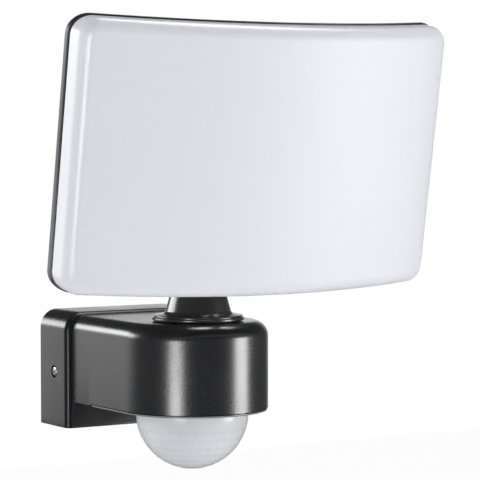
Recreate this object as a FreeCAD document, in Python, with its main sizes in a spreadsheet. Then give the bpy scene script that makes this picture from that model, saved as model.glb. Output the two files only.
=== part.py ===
import FreeCAD, Part
import math
import os
import re

import Sketcher

# Motion sensor floodlight for a wall. The wall box with its arm and sensor dome stays still, the neck turns about
# an upright axis, and the light panel tilts about a level hinge behind it. Millimetres, +X to the right, +Z up, and
# -Y away from the wall. The origin is the middle of the wall box, on the wall.

SIZES = {
    # wall box and arm, one moulding
    "box_width": 97.0,
    "box_height": 70.0,
    "box_depth": 34.5,
    "box_corner": 11.0,
    "box_edge": 3.6,
    "shell_wall": 3.0,
    "arm_width": 89.6,
    "arm_top": 33.2,
    "arm_bottom": 19.2,
    "arm_edge": 9.0,
    "drum_depth": 100.7,
    "brow_depth": 37.6,
    "foot_depth": 33.5,
    "skirt_depth": 58.0,
    "skirt_rise": 1.2,
    # screws at the sides of the box
    "side_screw_depth": 17.8,
    "side_screw_drop": 1.8,
    "side_head_radius": 2.9,
    "side_head_height": 1.5,
    "side_sink_radius": 3.8,
    "side_sink_depth": 1.6,
    "side_shank_radius": 1.45,
    "side_shank_length": 8.0,
    # wall plate
    "plate_gap": 0.3,
    "plate_thick": 3.0,
    "lug_thick": 5.0,
    "lug_height": 14.0,
    "lug_reach": 24.0,
    "wall_screw_spacing": 60.0,
    "wall_screw_rise": 14.0,
    "wall_slot_radius": 2.6,
    "wall_slot_length": 10.0,
    "grommet_radius": 9.0,
    "grommet_drop": 16.0,
    "grommet_lip": 2.5,
    "grommet_lip_thick": 1.5,
    "grommet_nose": 4.5,
    "cable_radius": 4.0,
    # terminal block
    "terminal_width": 30.0,
    "terminal_height": 15.0,
    "terminal_depth": 13.0,
    "terminal_rise": 9.5,
    "terminal_pitch": 9.0,
    "terminal_screw_radius": 2.0,
    # underside plate and sensor
    "cover_inset": 0.6,
    "cover_screw_side": 5.0,
    "cover_screw_setback": 4.0,
    "cover_thick": 1.6,
    "cover_rim_height": 3.0,
    "cover_rim_thick": 1.5,
    "dome_radius": 33.2,
    "dome_collar": 3.2,
    "dome_wall": 1.6,
    "dome_lip": 2.8,
    "dome_lip_thick": 1.6,
    "lens_ring_thick": 2.0,
    "lens_ring_width": 5.0,
    "sensor_post_radius": 2.2,
    "sensor_post_circle": 35.8,
    "sensor_post_angle": 40.0,
    "sensor_board_width": 60.0,
    "sensor_board_back": 42.0,
    "sensor_board_front": 126.5,
    "sensor_board_drop": 12.0,
    "board_thick": 1.6,
    "board_head_radius": 2.3,
    "board_head_height": 1.4,
    "board_shank_radius": 0.85,
    "board_shank_length": 5.0,
    "board_hole_radius": 1.2,
    "pyro_radius": 4.7,
    "pyro_height": 4.3,
    "pyro_flange": 0.9,
    # setting dials
    "dial_depth": 48.0,
    "dial_spacing": 18.0,
    "dial_radius": 4.5,
    "dial_thick": 3.0,
    "dial_slot_width": 1.2,
    "dial_slot_depth": 1.2,
    "dial_shaft_radius": 1.5,
    "dial_gap": 0.3,
    "dial_base_side": 10.0,
    "dial_base_thick": 2.6,
    # power board and its parts
    "power_board_width": 64.0,
    "power_board_back": 26.0,
    "power_board_front": 86.0,
    "power_board_rise": 9.0,
    "power_post_radius": 3.0,
    "power_post_inset": 5.0,
    "relay_width": 19.0,
    "relay_length": 15.5,
    "relay_height": 15.0,
    "transformer_width": 22.0,
    "transformer_length": 20.0,
    "transformer_height": 16.0,
    "capacitor_radius": 6.3,
    "capacitor_height": 17.0,
    # neck
    "neck_depth": 107.8,
    "spigot_radius": 14.0,
    "running_gap": 0.05,
    "spigot_length": 9.5,
    "seal_thick": 0.7,
    "ring_radius": 27.0,
    "ring_foot": 1.8,
    "tier_radius": 26.1,
    "tier_height": 2.9,
    "tier_lip": 1.6,
    "tier_dish": 0.8,
    "cone_foot_radius": 19.2,
    "cone_top_radius": 15.8,
    "cone_height": 13.2,
    "post_top": 60.0,
    "lead_bore": 5.0,
    "clip_thick": 1.5,
    "clip_groove": 1.4,
    "clip_reach": 4.0,
    # hinge
    "hinge_height": 76.0,
    "knuckle_radius": 11.0,
    "knuckle_width": 27.0,
    "head_tilt": 9.8,
    "bolt_radius": 3.0,
    "bolt_head_radius": 5.0,
    "bolt_head_height": 3.2,
    "nut_radius": 5.8,
    "nut_height": 5.0,
    "washer_thick": 0.5,
    "washer_radius": 9.5,
    "ear_thick": 5.0,
    "ear_radius": 11.5,
    "ear_rise": 30.0,
    "bracket_thick": 2.5,
    "bracket_foot": 10.0,
    "bracket_height": 32.0,
    "bracket_corner": 3.0,
    "bracket_window_radius": 7.5,
    "bracket_screw_side": 8.5,
    "bracket_screw_inset": 4.0,
    "bracket_screw_length": 8.0,
    # light panel
    "panel_width": 240.0,
    "panel_height": 152.4,
    "panel_corner": 12.0,
    "panel_rise": 65.0,
    "panel_back": 64.8,
    "panel_radius": 315.0,
    "plate_skin": 2.5,
    "rim_height": 4.2,
    "rim_thick": 3.2,
    "panel_seal_thick": 0.8,
    "panel_seal_inset": 1.4,
    "diffuser_inset": 0.8,
    "diffuser_front": 18.8,
    "diffuser_wall": 2.2,
    "diffuser_edge": 7.7,
    # ribs on the panel's back
    "rib_count": 8,
    "rib_pitch": 6.4,
    "rib_margin": 19.2,
    "rib_thick": 1.8,
    "rib_depth": 4.0,
    "rib_height": 118.0,
    # panel screws
    "panel_boss_radius": 4.5,
    "panel_boss_height": 2.2,
    "panel_screw_inset": 9.0,
    "panel_screw_side_rise": 45.0,
    "panel_screw_end": 40.0,
    "panel_screw_end_inset": 8.2,
    "panel_shank_radius": 1.4,
    "panel_shank_length": 11.0,
    "panel_head_radius": 2.8,
    "panel_head_height": 1.9,
    "inner_boss_radius": 3.2,
    # driver box behind the panel
    "driver_width": 88.0,
    "driver_height": 84.0,
    "driver_rise": 48.0,
    "driver_corner": 7.0,
    "driver_rear": 28.0,
    "driver_front": 51.0,
    "driver_wall": 2.8,
    "driver_edge": 4.0,
    "driver_seal_thick": 0.8,
    "seat_wall": 5.5,
    "driver_screw_inset": 6.5,
    "driver_screw_radius": 1.4,
    "driver_screw_head": 2.8,
    "driver_boss_radius": 4.2,
    "driver_board_width": 66.0,
    "driver_board_height": 58.0,
    "driver_board_front": 47.0,
    "driver_post_radius": 2.5,
    "coil_radius": 9.0,
    "coil_height": 10.0,
    "coil_side": 14.0,
    "coil_rise": 8.0,
    "driver_can_radius": 5.0,
    "driver_can_height": 11.0,
    "driver_can_side": 12.0,
    "driver_can_shift": 8.0,
    "driver_can_pitch": 14.0,
    "lead_hole_radius": 5.0,
    "lead_hole_rise": 22.0,
    # light source
    "strip_count": 4,
    "strip_margin": 13.0,
    "strip_width": 16.0,
    "strip_end_gap": 2.8,
    "strip_thick": 1.2,
    "strip_pad": 0.3,
    "chip_count": 9,
    "chip_margin": 7.6,
    "chip_width": 3.5,
    "chip_height": 2.8,
    "chip_thick": 0.8,
    "reflector_inset": 15.0,
    "reflector_bridge": 0.2,
    "reflector_corner": 6.0,
    "reflector_thick": 0.8,
    "reflector_slot_gap": 1.0,
}

doc = FreeCAD.newDocument("floodlight")
sheet = doc.addObject("Spreadsheet::Sheet", "sizes")
for row, (name, value) in enumerate(SIZES.items(), start=1):
    sheet.set(f"A{row}", name)
    sheet.set(f"B{row}", str(value))
    sheet.setAlias(f"B{row}", name)
doc.recompute()

V = FreeCAD.Vector
WORD = re.compile(r"[a-z][a-z_]+")
pieces = []


def size(name):
    """One size of the sheet, as a number."""
    return float(sheet.get(name))


def formula(text):
    """The text of an expression, with each size's name led by the sheet's name."""
    return WORD.sub(lambda word: "sizes." + word.group() if word.group() in SIZES else word.group(), str(text))


def bind(thing, path, text):
    thing.setExpression(path, formula(text))


def piece(name, thing, in_head=False):
    """Names a finished piece. A piece of the head is drawn about the hinge and turned forward with it."""
    thing.Label = name
    if in_head:
        thing.Placement = FreeCAD.Placement(V(), FreeCAD.Rotation(V(1, 0, 0), 0))
        bind(thing, ".Placement.Base.y", "-neck_depth")
        bind(thing, ".Placement.Base.z", "hinge_height")
        bind(thing, ".Placement.Rotation.Angle", "head_tilt")
    pieces.append(thing)
    return thing


# Plain solids and their sums

TURNS = {
    "x": FreeCAD.Rotation(V(0, 1, 0), 90),
    "-x": FreeCAD.Rotation(V(0, 1, 0), -90),
    "y": FreeCAD.Rotation(V(1, 0, 0), -90),
    "-y": FreeCAD.Rotation(V(1, 0, 0), 90),
    "z": FreeCAD.Rotation(),
    "-z": FreeCAD.Rotation(V(1, 0, 0), 180),
}


def put(thing, at, along="z"):
    thing.Placement = FreeCAD.Placement(V(), TURNS[along])
    for axis, text in zip("xyz", at):
        bind(thing, f".Placement.Base.{axis}", text)
    return thing


def block(name, x, y, z):
    """A box between a low and a high value on each axis."""
    thing = doc.addObject("Part::Box", name)
    for side, (low, high) in zip(("Length", "Width", "Height"), (x, y, z)):
        bind(thing, side, f"({high}) - ({low})")
    return put(thing, (x[0], y[0], z[0]))


def rod(name, at, along, radius, length):
    thing = doc.addObject("Part::Cylinder", name)
    bind(thing, "Radius", radius)
    bind(thing, "Height", length)
    return put(thing, at, along)


def fuse(name, *parts):
    thing = doc.addObject("Part::MultiFuse", name)
    thing.Shapes = list(parts)
    thing.Refine = True
    return thing


def common(name, *parts):
    thing = doc.addObject("Part::MultiCommon", name)
    thing.Shapes = list(parts)
    return thing


def cut(name, base, *tools):
    thing = doc.addObject("Part::Cut", name)
    thing.Base = base
    thing.Tool = tools[0] if len(tools) == 1 else fuse(name + "_tools", *tools)
    thing.Refine = True
    return thing


def group(name, *parts):
    """Solids that stay separate in one piece."""
    thing = doc.addObject("Part::Compound", name)
    thing.Links = list(parts)
    return thing


def copy_of(thing, name, at, along="z"):
    link = doc.addObject("App::Link", name)
    link.LinkedObject = thing
    return put(link, at, along)


# Bodies made from sketches

def sketch_in(body, name, plane, lift="0"):
    """A sketch on one of the body's own base planes, lifted along that plane's normal."""
    sketch = body.newObject("Sketcher::SketchObject", name)
    support = next(item for item in body.Origin.OriginFeatures if item.Role == plane)
    sketch.AttachmentSupport = [(support, "")]
    sketch.MapMode = "FlatFace"
    bind(sketch, "AttachmentOffset.Base.z", lift)
    return sketch


def fix(sketch, kind, where, text):
    """A distance along X or Y from the sketch's origin to a point, or a radius, bound to a formula."""
    guess = sketch.getPoint(*where) if kind != "Radius" else None
    value = {"DistanceX": lambda: guess.x, "DistanceY": lambda: guess.y, "Radius": lambda: 1.0}[kind]()
    first = (-1, 1) if kind != "Radius" else ()
    index = sketch.addConstraint(Sketcher.Constraint(kind, *first, *where, value))
    bind(sketch, f"Constraints[{index}]", text)


def draw_polygon(sketch, points):
    """A closed run of straight lines through points whose coordinates are formulas."""
    count = len(points)
    for i in range(count):
        a = 2 * math.pi * i / count
        b = 2 * math.pi * (i + 1) / count
        ends = (V(10 * math.cos(a), 10 * math.sin(a), 0), V(10 * math.cos(b), 10 * math.sin(b), 0))
        sketch.addGeometry(Part.LineSegment(*ends))
    for i in range(count):
        sketch.addConstraint(Sketcher.Constraint("Coincident", i, 2, (i + 1) % count, 1))
    for i, (across, up) in enumerate(points):
        fix(sketch, "DistanceX", (i, 1), across)
        fix(sketch, "DistanceY", (i, 1), up)


def draw_rounded(sketch, left, right, low, high, top_radius, foot_radius=None):
    """A rectangle with round corners. Without a foot radius its two lower corners are square."""
    flat = V(0, 0, 1)
    radius = 2
    lines = []
    arcs = []
    corners = [(8, -5, -90, foot_radius), (8, 5, 0, top_radius), (-8, 5, 90, top_radius), (-8, -5, 180, foot_radius)]
    ends = [(V(-8, -7, 0), V(8, -7, 0)), (V(10, -5, 0), V(10, 5, 0)), (V(8, 7, 0), V(-8, 7, 0)),
            (V(-10, 5, 0), V(-10, -5, 0))]
    for start, end in ends:
        lines.append(sketch.addGeometry(Part.LineSegment(start, end)))
    for i, (x, y, angle, corner) in enumerate(corners):
        following = lines[(i + 1) % 4]
        if corner is None:
            sketch.addConstraint(Sketcher.Constraint("Coincident", lines[i], 2, following, 1))
            continue
        circle = Part.Circle(V(x, y, 0), flat, radius)
        arc = Part.ArcOfCircle(circle, math.radians(angle), math.radians(angle + 90))
        arcs.append(sketch.addGeometry(arc))
        sketch.addConstraint(Sketcher.Constraint("Tangent", lines[i], 2, arcs[-1], 1))
        sketch.addConstraint(Sketcher.Constraint("Tangent", arcs[-1], 2, following, 1))
        fix(sketch, "Radius", (arcs[-1],), corner)
    for i, direction in enumerate(("Horizontal", "Vertical", "Horizontal", "Vertical")):
        sketch.addConstraint(Sketcher.Constraint(direction, lines[i]))
    fix(sketch, "DistanceY", (lines[0], 1), low)
    fix(sketch, "DistanceX", (lines[1], 1), right)
    fix(sketch, "DistanceY", (lines[2], 1), high)
    fix(sketch, "DistanceX", (lines[3], 1), left)


def draw_arm(sketch, half_width, back, nose):
    """The arm from above: two straight sides and a half circle about the drum's axis."""
    circle = Part.Circle(V(0, -40, 0), V(0, 0, 1), 10)
    left = sketch.addGeometry(Part.LineSegment(V(-10, 0, 0), V(-10, -40, 0)))
    front = sketch.addGeometry(Part.ArcOfCircle(circle, math.pi, 2 * math.pi))
    right = sketch.addGeometry(Part.LineSegment(V(10, -40, 0), V(10, 0, 0)))
    rear = sketch.addGeometry(Part.LineSegment(V(10, 0, 0), V(-10, 0, 0)))
    for first, second in ((left, front), (front, right), (right, rear), (rear, left)):
        sketch.addConstraint(Sketcher.Constraint("Coincident", first, 2, second, 1))
    sketch.addConstraint(Sketcher.Constraint("Vertical", left))
    sketch.addConstraint(Sketcher.Constraint("Vertical", right))
    fix(sketch, "Radius", (front,), half_width)
    fix(sketch, "DistanceX", (front, 3), "0")
    fix(sketch, "DistanceY", (front, 3), f"-({nose})")
    fix(sketch, "DistanceY", (front, 1), f"-({nose})")
    fix(sketch, "DistanceY", (front, 2), f"-({nose})")
    fix(sketch, "DistanceY", (rear, 1), f"-({back})")
    fix(sketch, "DistanceY", (rear, 2), f"-({back})")


def new_body(name):
    return doc.addObject("PartDesign::Body", name)


def pad(body, sketch, length, midplane=False):
    feature = body.newObject("PartDesign::Pad", sketch.Name + "_pad")
    feature.Profile = sketch
    bind(feature, "Length", length)
    feature.Midplane = midplane
    body.Tip = feature
    return feature


def turned(name, points):
    """A body turned about its own upright axis from a profile of radius and height."""
    body = new_body(name)
    sketch = sketch_in(body, name + "_profile", "XZ_Plane")
    draw_polygon(sketch, points)
    feature = body.newObject("PartDesign::Revolution", name + "_turn")
    feature.Profile = sketch
    feature.ReferenceAxis = (sketch, ["V_Axis"])
    feature.Angle = 360
    body.Tip = feature
    return body


def round_edges(body, base, radius, wanted):
    """Rounds the edges of the last feature whose every sampled point passes the test."""
    doc.recompute()
    names = []
    for number, edge in enumerate(base.Shape.Edges, start=1):
        points = edge.discretize(5)
        if all(wanted(point) for point in points):
            names.append(f"Edge{number}")
    feature = body.newObject("PartDesign::Fillet", base.Name + "_round")
    feature.Base = (base, names)
    bind(feature, "Radius", radius)
    body.Tip = feature
    doc.recompute()
    return feature


def body_from(name, thing):
    """A body that starts from a solid made by sums, so that its edges can be rounded."""
    body = new_body(name)
    body.BaseFeature = thing
    doc.recompute()
    return body


NEAR = 0.01


# Wall box and arm

def arm_form(name, inset, back, bottom, top, edge):
    """The arm and its drum as one upright form, round along its upper edge."""
    body = new_body(name)
    sketch = sketch_in(body, name + "_plan", "XY_Plane", bottom)
    draw_arm(sketch, f"arm_width / 2 - ({inset})", back, "drum_depth")
    base = pad(body, sketch, f"({top}) - ({bottom})")
    if edge is not None:
        doc.recompute()
        roof = base.Shape.BoundBox.ZMax
        rear = base.Shape.BoundBox.YMax
        upper = {i for i, edge_of in enumerate(base.Shape.Edges) if edge_of.BoundBox.YMin > rear - NEAR}
        names = [
            f"Edge{i + 1}"
            for i, edge_of in enumerate(base.Shape.Edges)
            if edge_of.BoundBox.ZMin > roof - NEAR and i not in upper
        ]
        feature = body.newObject("PartDesign::Fillet", name + "_round")
        feature.Base = (base, names)
        bind(feature, "Radius", edge)
        body.Tip = feature
    return body


def box_form(name, inset, low, depth, edge):
    """The wall box as a block: round upper corners, square feet and a round front edge."""
    body = new_body(name)
    sketch = sketch_in(body, name + "_face", "XZ_Plane")
    side = f"box_width / 2 - ({inset})"
    draw_rounded(sketch, f"-({side})", side, low, f"box_height / 2 - ({inset})", f"box_corner - ({inset})")
    base = pad(body, sketch, depth)
    if edge is not None:
        doc.recompute()
        front = base.Shape.BoundBox.YMin
        foot = base.Shape.BoundBox.ZMin
        names = [
            f"Edge{i + 1}"
            for i, edge_of in enumerate(base.Shape.Edges)
            if edge_of.BoundBox.YMax < front + NEAR and edge_of.BoundBox.ZMax > foot + NEAR
        ]
        feature = body.newObject("PartDesign::Fillet", name + "_round")
        feature.Base = (base, names)
        bind(feature, "Radius", edge)
        body.Tip = feature
    return body


def foot_slope(name):
    """What is cut away in front of the slanting face below the arm."""
    body = new_body(name)
    sketch = sketch_in(body, name + "_side", "YZ_Plane")
    run = "(brow_depth - foot_depth) / (box_height / 2 - arm_bottom)"
    draw_polygon(sketch, [
        ("-brow_depth", "-arm_bottom"),
        (f"-foot_depth + ({run}) * 2", "-box_height / 2 - 2"),
        ("-brow_depth - 10", "-box_height / 2 - 2"),
        ("-brow_depth - 10", "-arm_bottom"),
    ])
    pad(body, sketch, "box_width + 10", midplane=True)
    return body


def arm_housing():
    outer = fuse(
        "housing_outer",
        box_form("box_outer", "0", "-box_height / 2", "box_depth", "box_edge"),
        arm_form("arm_outer", "0", "box_depth / 2", "-arm_bottom", "arm_top", "arm_edge"),
        block("brow", ("-arm_width / 2", "arm_width / 2"), ("-brow_depth", "-box_depth / 2"),
              ("-box_height / 2", "-arm_bottom")),
    )
    hollows = [
        foot_slope("foot_cut"),
        box_form("box_hollow", "shell_wall", "-box_height / 2 + shell_wall", "box_depth - shell_wall", None),
        arm_form("arm_hollow", "shell_wall", "box_depth / 2", "-arm_bottom + shell_wall", "arm_top - shell_wall",
                 "arm_edge - shell_wall"),
        arm_form("sensor_mouth", "shell_wall", "skirt_depth + shell_wall", "-arm_bottom - 1", "0", None),
        arm_form("skirt_cut", "-1", "skirt_depth", "-arm_bottom - 1", "-arm_bottom + skirt_rise", None),
        rod("neck_hole", ("0", "-neck_depth", "0"), "z", "spigot_radius + running_gap", "arm_top + 1"),
    ]
    for side, along in (("-", "x"), ("", "-x")):
        at = (f"{side}(box_width / 2 + 1)", "-side_screw_depth", "-side_screw_drop")
        label = "left" if side else "right"
        hollows.append(rod(label + "_sink", at, along, "side_sink_radius", "side_sink_depth + 1"))
        hollows.append(rod(label + "_way", at, along, "side_shank_radius + plate_gap", "shell_wall + 2"))
    for name, across in DIALS:
        at = (across, "-dial_depth", "-arm_bottom - 1")
        hollows.append(rod(name + "_well", at, "z", "dial_radius + dial_gap", "shell_wall + 2"))
    shell = cut("housing_shell", outer, *hollows)
    posts = []
    for i, (x, y) in enumerate(POWER_POSTS):
        at = (x, y, "power_board_rise + board_thick")
        posts.append(rod(f"power_post_{i}", at, "z", "power_post_radius",
                         "arm_top - shell_wall / 2 - power_board_rise - board_thick"))
    for i, x in enumerate(COVER_SCREWS):
        at = (x, COVER_SCREW_Y, "-arm_bottom + skirt_rise")
        posts.append(rod(f"cover_post_{i}", at, "z", "sensor_post_radius + 1.6",
                         "arm_top + arm_bottom - skirt_rise - shell_wall / 2"))
    for i, x in enumerate(REAR_SENSOR_POSTS):
        at = (x, REAR_SENSOR_Y, "-arm_bottom + shell_wall / 2")
        posts.append(rod(f"rear_sensor_post_{i}", at, "z", "sensor_post_radius",
                         "arm_bottom - shell_wall / 2 - sensor_board_drop"))
    solid = fuse("housing_with_posts", shell, *posts)
    holes = []
    for i, (x, y) in enumerate(POWER_POSTS):
        at = (x, y, "power_board_rise")
        holes.append(rod(f"power_post_hole_{i}", at, "z", "board_shank_radius + running_gap", "board_thick + 6"))
    for i, x in enumerate(COVER_SCREWS):
        at = (x, COVER_SCREW_Y, "-arm_bottom")
        holes.append(rod(f"cover_post_hole_{i}", at, "z", "panel_shank_radius + running_gap", "12"))
    for i, x in enumerate(REAR_SENSOR_POSTS):
        holes.append(board_screw_hole(f"rear_sensor_hole_{i}", x, REAR_SENSOR_Y))
    piece("arm_housing", cut("arm_housing_solid", solid, *holes))


DIALS = (("time", "-dial_spacing"), ("light", "0"), ("range", "dial_spacing"))
POWER_POSTS = [
    (f"{side}(power_board_width / 2 - power_post_inset)", f"-{end}")
    for side in ("-", "")
    for end in ("(power_board_back + 14)", "(power_board_front - power_post_inset)")
]
COVER_SCREWS = ("-(arm_width / 2 - shell_wall - cover_screw_side)", "arm_width / 2 - shell_wall - cover_screw_side")
COVER_SCREW_Y = "-skirt_depth - shell_wall - cover_screw_setback"
REAR_SENSOR_POSTS = ("-(sensor_board_width / 2 - 3.5)", "sensor_board_width / 2 - 3.5")
REAR_SENSOR_Y = "-sensor_board_back - sensor_post_radius - 1"


# Screws

def screw(name, head_radius, head_height, shank_radius, shank_length):
    """A screw with a round head and a cross recess, its shank down its own -Z, its head from 0 upwards."""
    bevel = f"({head_height}) * 0.35"
    body = turned(name + "_turned", [
        ("0", f"-({shank_length})"),
        (f"({shank_radius}) * 0.6", f"-({shank_length})"),
        (shank_radius, f"-({shank_length}) + ({shank_radius})"),
        (shank_radius, "0"),
        (head_radius, "0"),
        (head_radius, f"({head_height}) - {bevel}"),
        (f"({head_radius}) - {bevel}", head_height),
        ("0", head_height),
    ])
    reach = f"({head_radius}) * 0.6"
    half = f"({head_radius}) * 0.14"
    floor = f"({head_height}) * 0.4"
    above = f"({head_height}) + 1"
    slots = [
        block(name + "_slot_a", (f"-{reach}", reach), (f"-{half}", half), (floor, above)),
        block(name + "_slot_b", (f"-{half}", half), (f"-{reach}", reach), (floor, above)),
    ]
    return cut(name + "_one", body, fuse(name + "_recess", *slots))


def side_screws():
    one = screw("side_screw", "side_head_radius", "side_head_height", "side_shank_radius", "side_shank_length")
    seat = "(box_width / 2 - side_sink_depth)"
    copies = [
        copy_of(one, "side_screw_left", (f"-{seat}", "-side_screw_depth", "-side_screw_drop"), "-x"),
        copy_of(one, "side_screw_right", (seat, "-side_screw_depth", "-side_screw_drop"), "x"),
    ]
    piece("side_screws", group("side_screw_pair", *copies))


# Wall plate

def wall_plate():
    inside = "shell_wall + plate_gap"
    base = box_form("plate_sheet", inside, f"-box_height / 2 + {inside}", "plate_thick", None)
    lugs = []
    for side in (-1, 1):
        ends = (f"{side} * (box_width / 2 - ({inside}))", f"{side} * (box_width / 2 - ({inside}) - lug_thick)")
        low, high = ends if side < 0 else ends[::-1]
        label = "left" if side < 0 else "right"
        lugs.append(block(label + "_lug", (low, high), ("-lug_reach", "-plate_thick / 2"),
                          ("-side_screw_drop - lug_height / 2", "-side_screw_drop + lug_height / 2")))
    holes = [rod("grommet_hole", ("0", "1", "-grommet_drop"), "-y", "grommet_radius", "plate_thick + 2")]
    for i, side in enumerate(("-", "")):
        middle = f"{side}wall_screw_spacing / 2"
        half = "(wall_slot_length / 2 - wall_slot_radius)"
        for j, end in enumerate(("-", "+")):
            at = (f"{middle} {end} {half}", "1", "wall_screw_rise")
            holes.append(rod(f"slot_end_{i}{j}", at, "-y", "wall_slot_radius", "plate_thick + 2"))
        holes.append(block(f"slot_middle_{i}", (f"{middle} - {half}", f"{middle} + {half}"),
                           ("-plate_thick - 1", "1"),
                           ("wall_screw_rise - wall_slot_radius", "wall_screw_rise + wall_slot_radius")))
        at = (f"{side}box_width / 2", "-side_screw_depth", "-side_screw_drop")
        holes.append(rod(f"lug_hole_{i}", at, "x" if side else "-x", "side_shank_radius + running_gap",
                         "shell_wall + lug_thick + 2"))
    piece("wall_plate", cut("wall_plate_solid", fuse("wall_plate_sum", base, *lugs), *holes))


def cable_grommet():
    """A rubber plug in the plate's hole with a lip and a coned nose, its bore the cable's."""
    body = turned("cable_grommet_turned", [
        ("cable_radius", "0"),
        ("grommet_radius", "0"),
        ("grommet_radius", "plate_thick"),
        ("grommet_radius + grommet_lip", "plate_thick"),
        ("grommet_radius + grommet_lip", "plate_thick + grommet_lip_thick"),
        ("cable_radius + 3", "plate_thick + grommet_lip_thick"),
        ("cable_radius + 1.2", "plate_thick + grommet_lip_thick + grommet_nose"),
        ("cable_radius", "plate_thick + grommet_lip_thick + grommet_nose"),
    ])
    put(body, ("0", "0", "-grommet_drop"), "-y")
    piece("cable_grommet", body)


def terminals():
    half = "terminal_width / 2"
    low = "terminal_rise - terminal_height / 2"
    high = "terminal_rise + terminal_height / 2"
    front = "-plate_thick - terminal_depth"
    base = block("terminal_base", (f"-{half}", half), (front, "-plate_thick"), (low, high))
    holes = []
    screws = []
    for i in range(3):
        x = f"{i - 1} * terminal_pitch"
        at = (x, f"{front} - 1", "terminal_rise")
        holes.append(rod(f"terminal_well_{i}", at, "y", "terminal_screw_radius + 0.4", "terminal_depth * 0.4 + 1"))
        mouth = (x, f"{front} + terminal_depth * 0.72", f"{low} - 1")
        holes.append(rod(f"terminal_mouth_{i}", mouth, "z", "terminal_screw_radius", "terminal_height / 3 + 1"))
        seat = (x, f"{front} + terminal_depth * 0.4", "terminal_rise")
        head = rod(f"terminal_head_{i}", seat, "-y", "terminal_screw_radius", "terminal_depth * 0.25")
        slot = block(f"terminal_slot_{i}", (f"{x} - 3", f"{x} + 3"),
                     (f"{front} + terminal_depth * 0.1", f"{front} + terminal_depth * 0.22"),
                     ("terminal_rise - 0.3", "terminal_rise + 0.3"))
        screws.append(cut(f"terminal_screw_{i}", head, slot))
    piece("terminal_block", cut("terminal_block_solid", base, *holes))
    piece("terminal_screws", group("terminal_screw_set", *screws))


# Underside plate, lens and sensor

def underside_cover():
    low = "-arm_bottom + skirt_rise - cover_thick"
    seat = "-arm_bottom + skirt_rise"
    sheet_part = arm_form("cover_sheet", "cover_inset", "skirt_depth + cover_inset / 2", low, seat, None)
    rim_inset = "shell_wall + plate_gap"
    rim_back = "skirt_depth + shell_wall + plate_gap"
    rim = cut(
        "cover_rim",
        arm_form("cover_rim_outer", rim_inset, rim_back, f"{seat} - 0.5", f"{seat} + cover_rim_height", None),
        arm_form("cover_rim_inner", f"{rim_inset} + cover_rim_thick", f"{rim_back} + cover_rim_thick",
                 f"{seat} - 1", f"{seat} + cover_rim_height + 1", None),
    )
    holes = [rod("dome_hole", ("0", "-drum_depth", f"{low} - 1"), "z", "dome_radius + plate_gap",
                 "cover_thick + cover_rim_height + 3"),
             rod("lens_ring_room", ("0", "-drum_depth", seat), "z",
                 "dome_radius + dome_lip + lens_ring_width - 0.8", "cover_rim_height + 1")]
    for i, x in enumerate(COVER_SCREWS):
        at = (x, COVER_SCREW_Y, f"{low} - 1")
        holes.append(rod(f"cover_hole_{i}", at, "z", "panel_shank_radius + plate_gap", "cover_thick + 2"))
        room = (x, COVER_SCREW_Y, seat)
        holes.append(rod(f"cover_post_room_{i}", room, "z", "sensor_post_radius + 2", "cover_rim_height + 1"))
    piece("underside_cover", cut("underside_cover_solid", fuse("cover_sum", sheet_part, rim), *holes))


def cover_screws():
    one = screw("cover_screw", "panel_head_radius", "panel_head_height * 0.7", "panel_shank_radius", "9")
    low = "-arm_bottom + skirt_rise - cover_thick"
    copies = [copy_of(one, f"cover_screw_{i}", (x, COVER_SCREW_Y, low), "-z") for i, x in enumerate(COVER_SCREWS)]
    piece("cover_screws", group("cover_screw_pair", *copies))


def sensor_dome():
    """A hollow half ball under a short collar, with a lip that the lens ring clamps."""
    seat = "-arm_bottom + skirt_rise"
    equator = "-arm_bottom + skirt_rise - cover_thick - (dome_collar - cover_thick)"
    inner = "dome_radius - dome_wall"
    ball = doc.addObject("Part::Sphere", "dome_ball")
    bind(ball, "Radius", "dome_radius")
    put(ball, ("0", "0", equator))
    hollow = doc.addObject("Part::Sphere", "dome_hollow")
    bind(hollow, "Radius", inner)
    put(hollow, ("0", "0", equator))
    collar = rod("dome_collar_rod", ("0", "0", equator), "z", "dome_radius", "dome_collar + dome_lip_thick / 2")
    lip = rod("dome_lip_rod", ("0", "0", seat), "z", "dome_radius + dome_lip", "dome_lip_thick")
    bore = rod("dome_bore", ("0", "0", equator), "z", inner, "dome_collar + dome_lip_thick + 1")
    above = block("dome_above", ("-2 * dome_radius", "2 * dome_radius"), ("-2 * dome_radius", "2 * dome_radius"),
                  (equator, f"{equator} + 2 * dome_radius"))
    bowl = cut("dome_bowl", ball, above)
    body = cut("sensor_dome_solid", fuse("dome_sum", bowl, collar, lip), hollow, bore)
    put(body, ("0", "-drum_depth", "0"))
    piece("sensor_dome", body)


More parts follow.
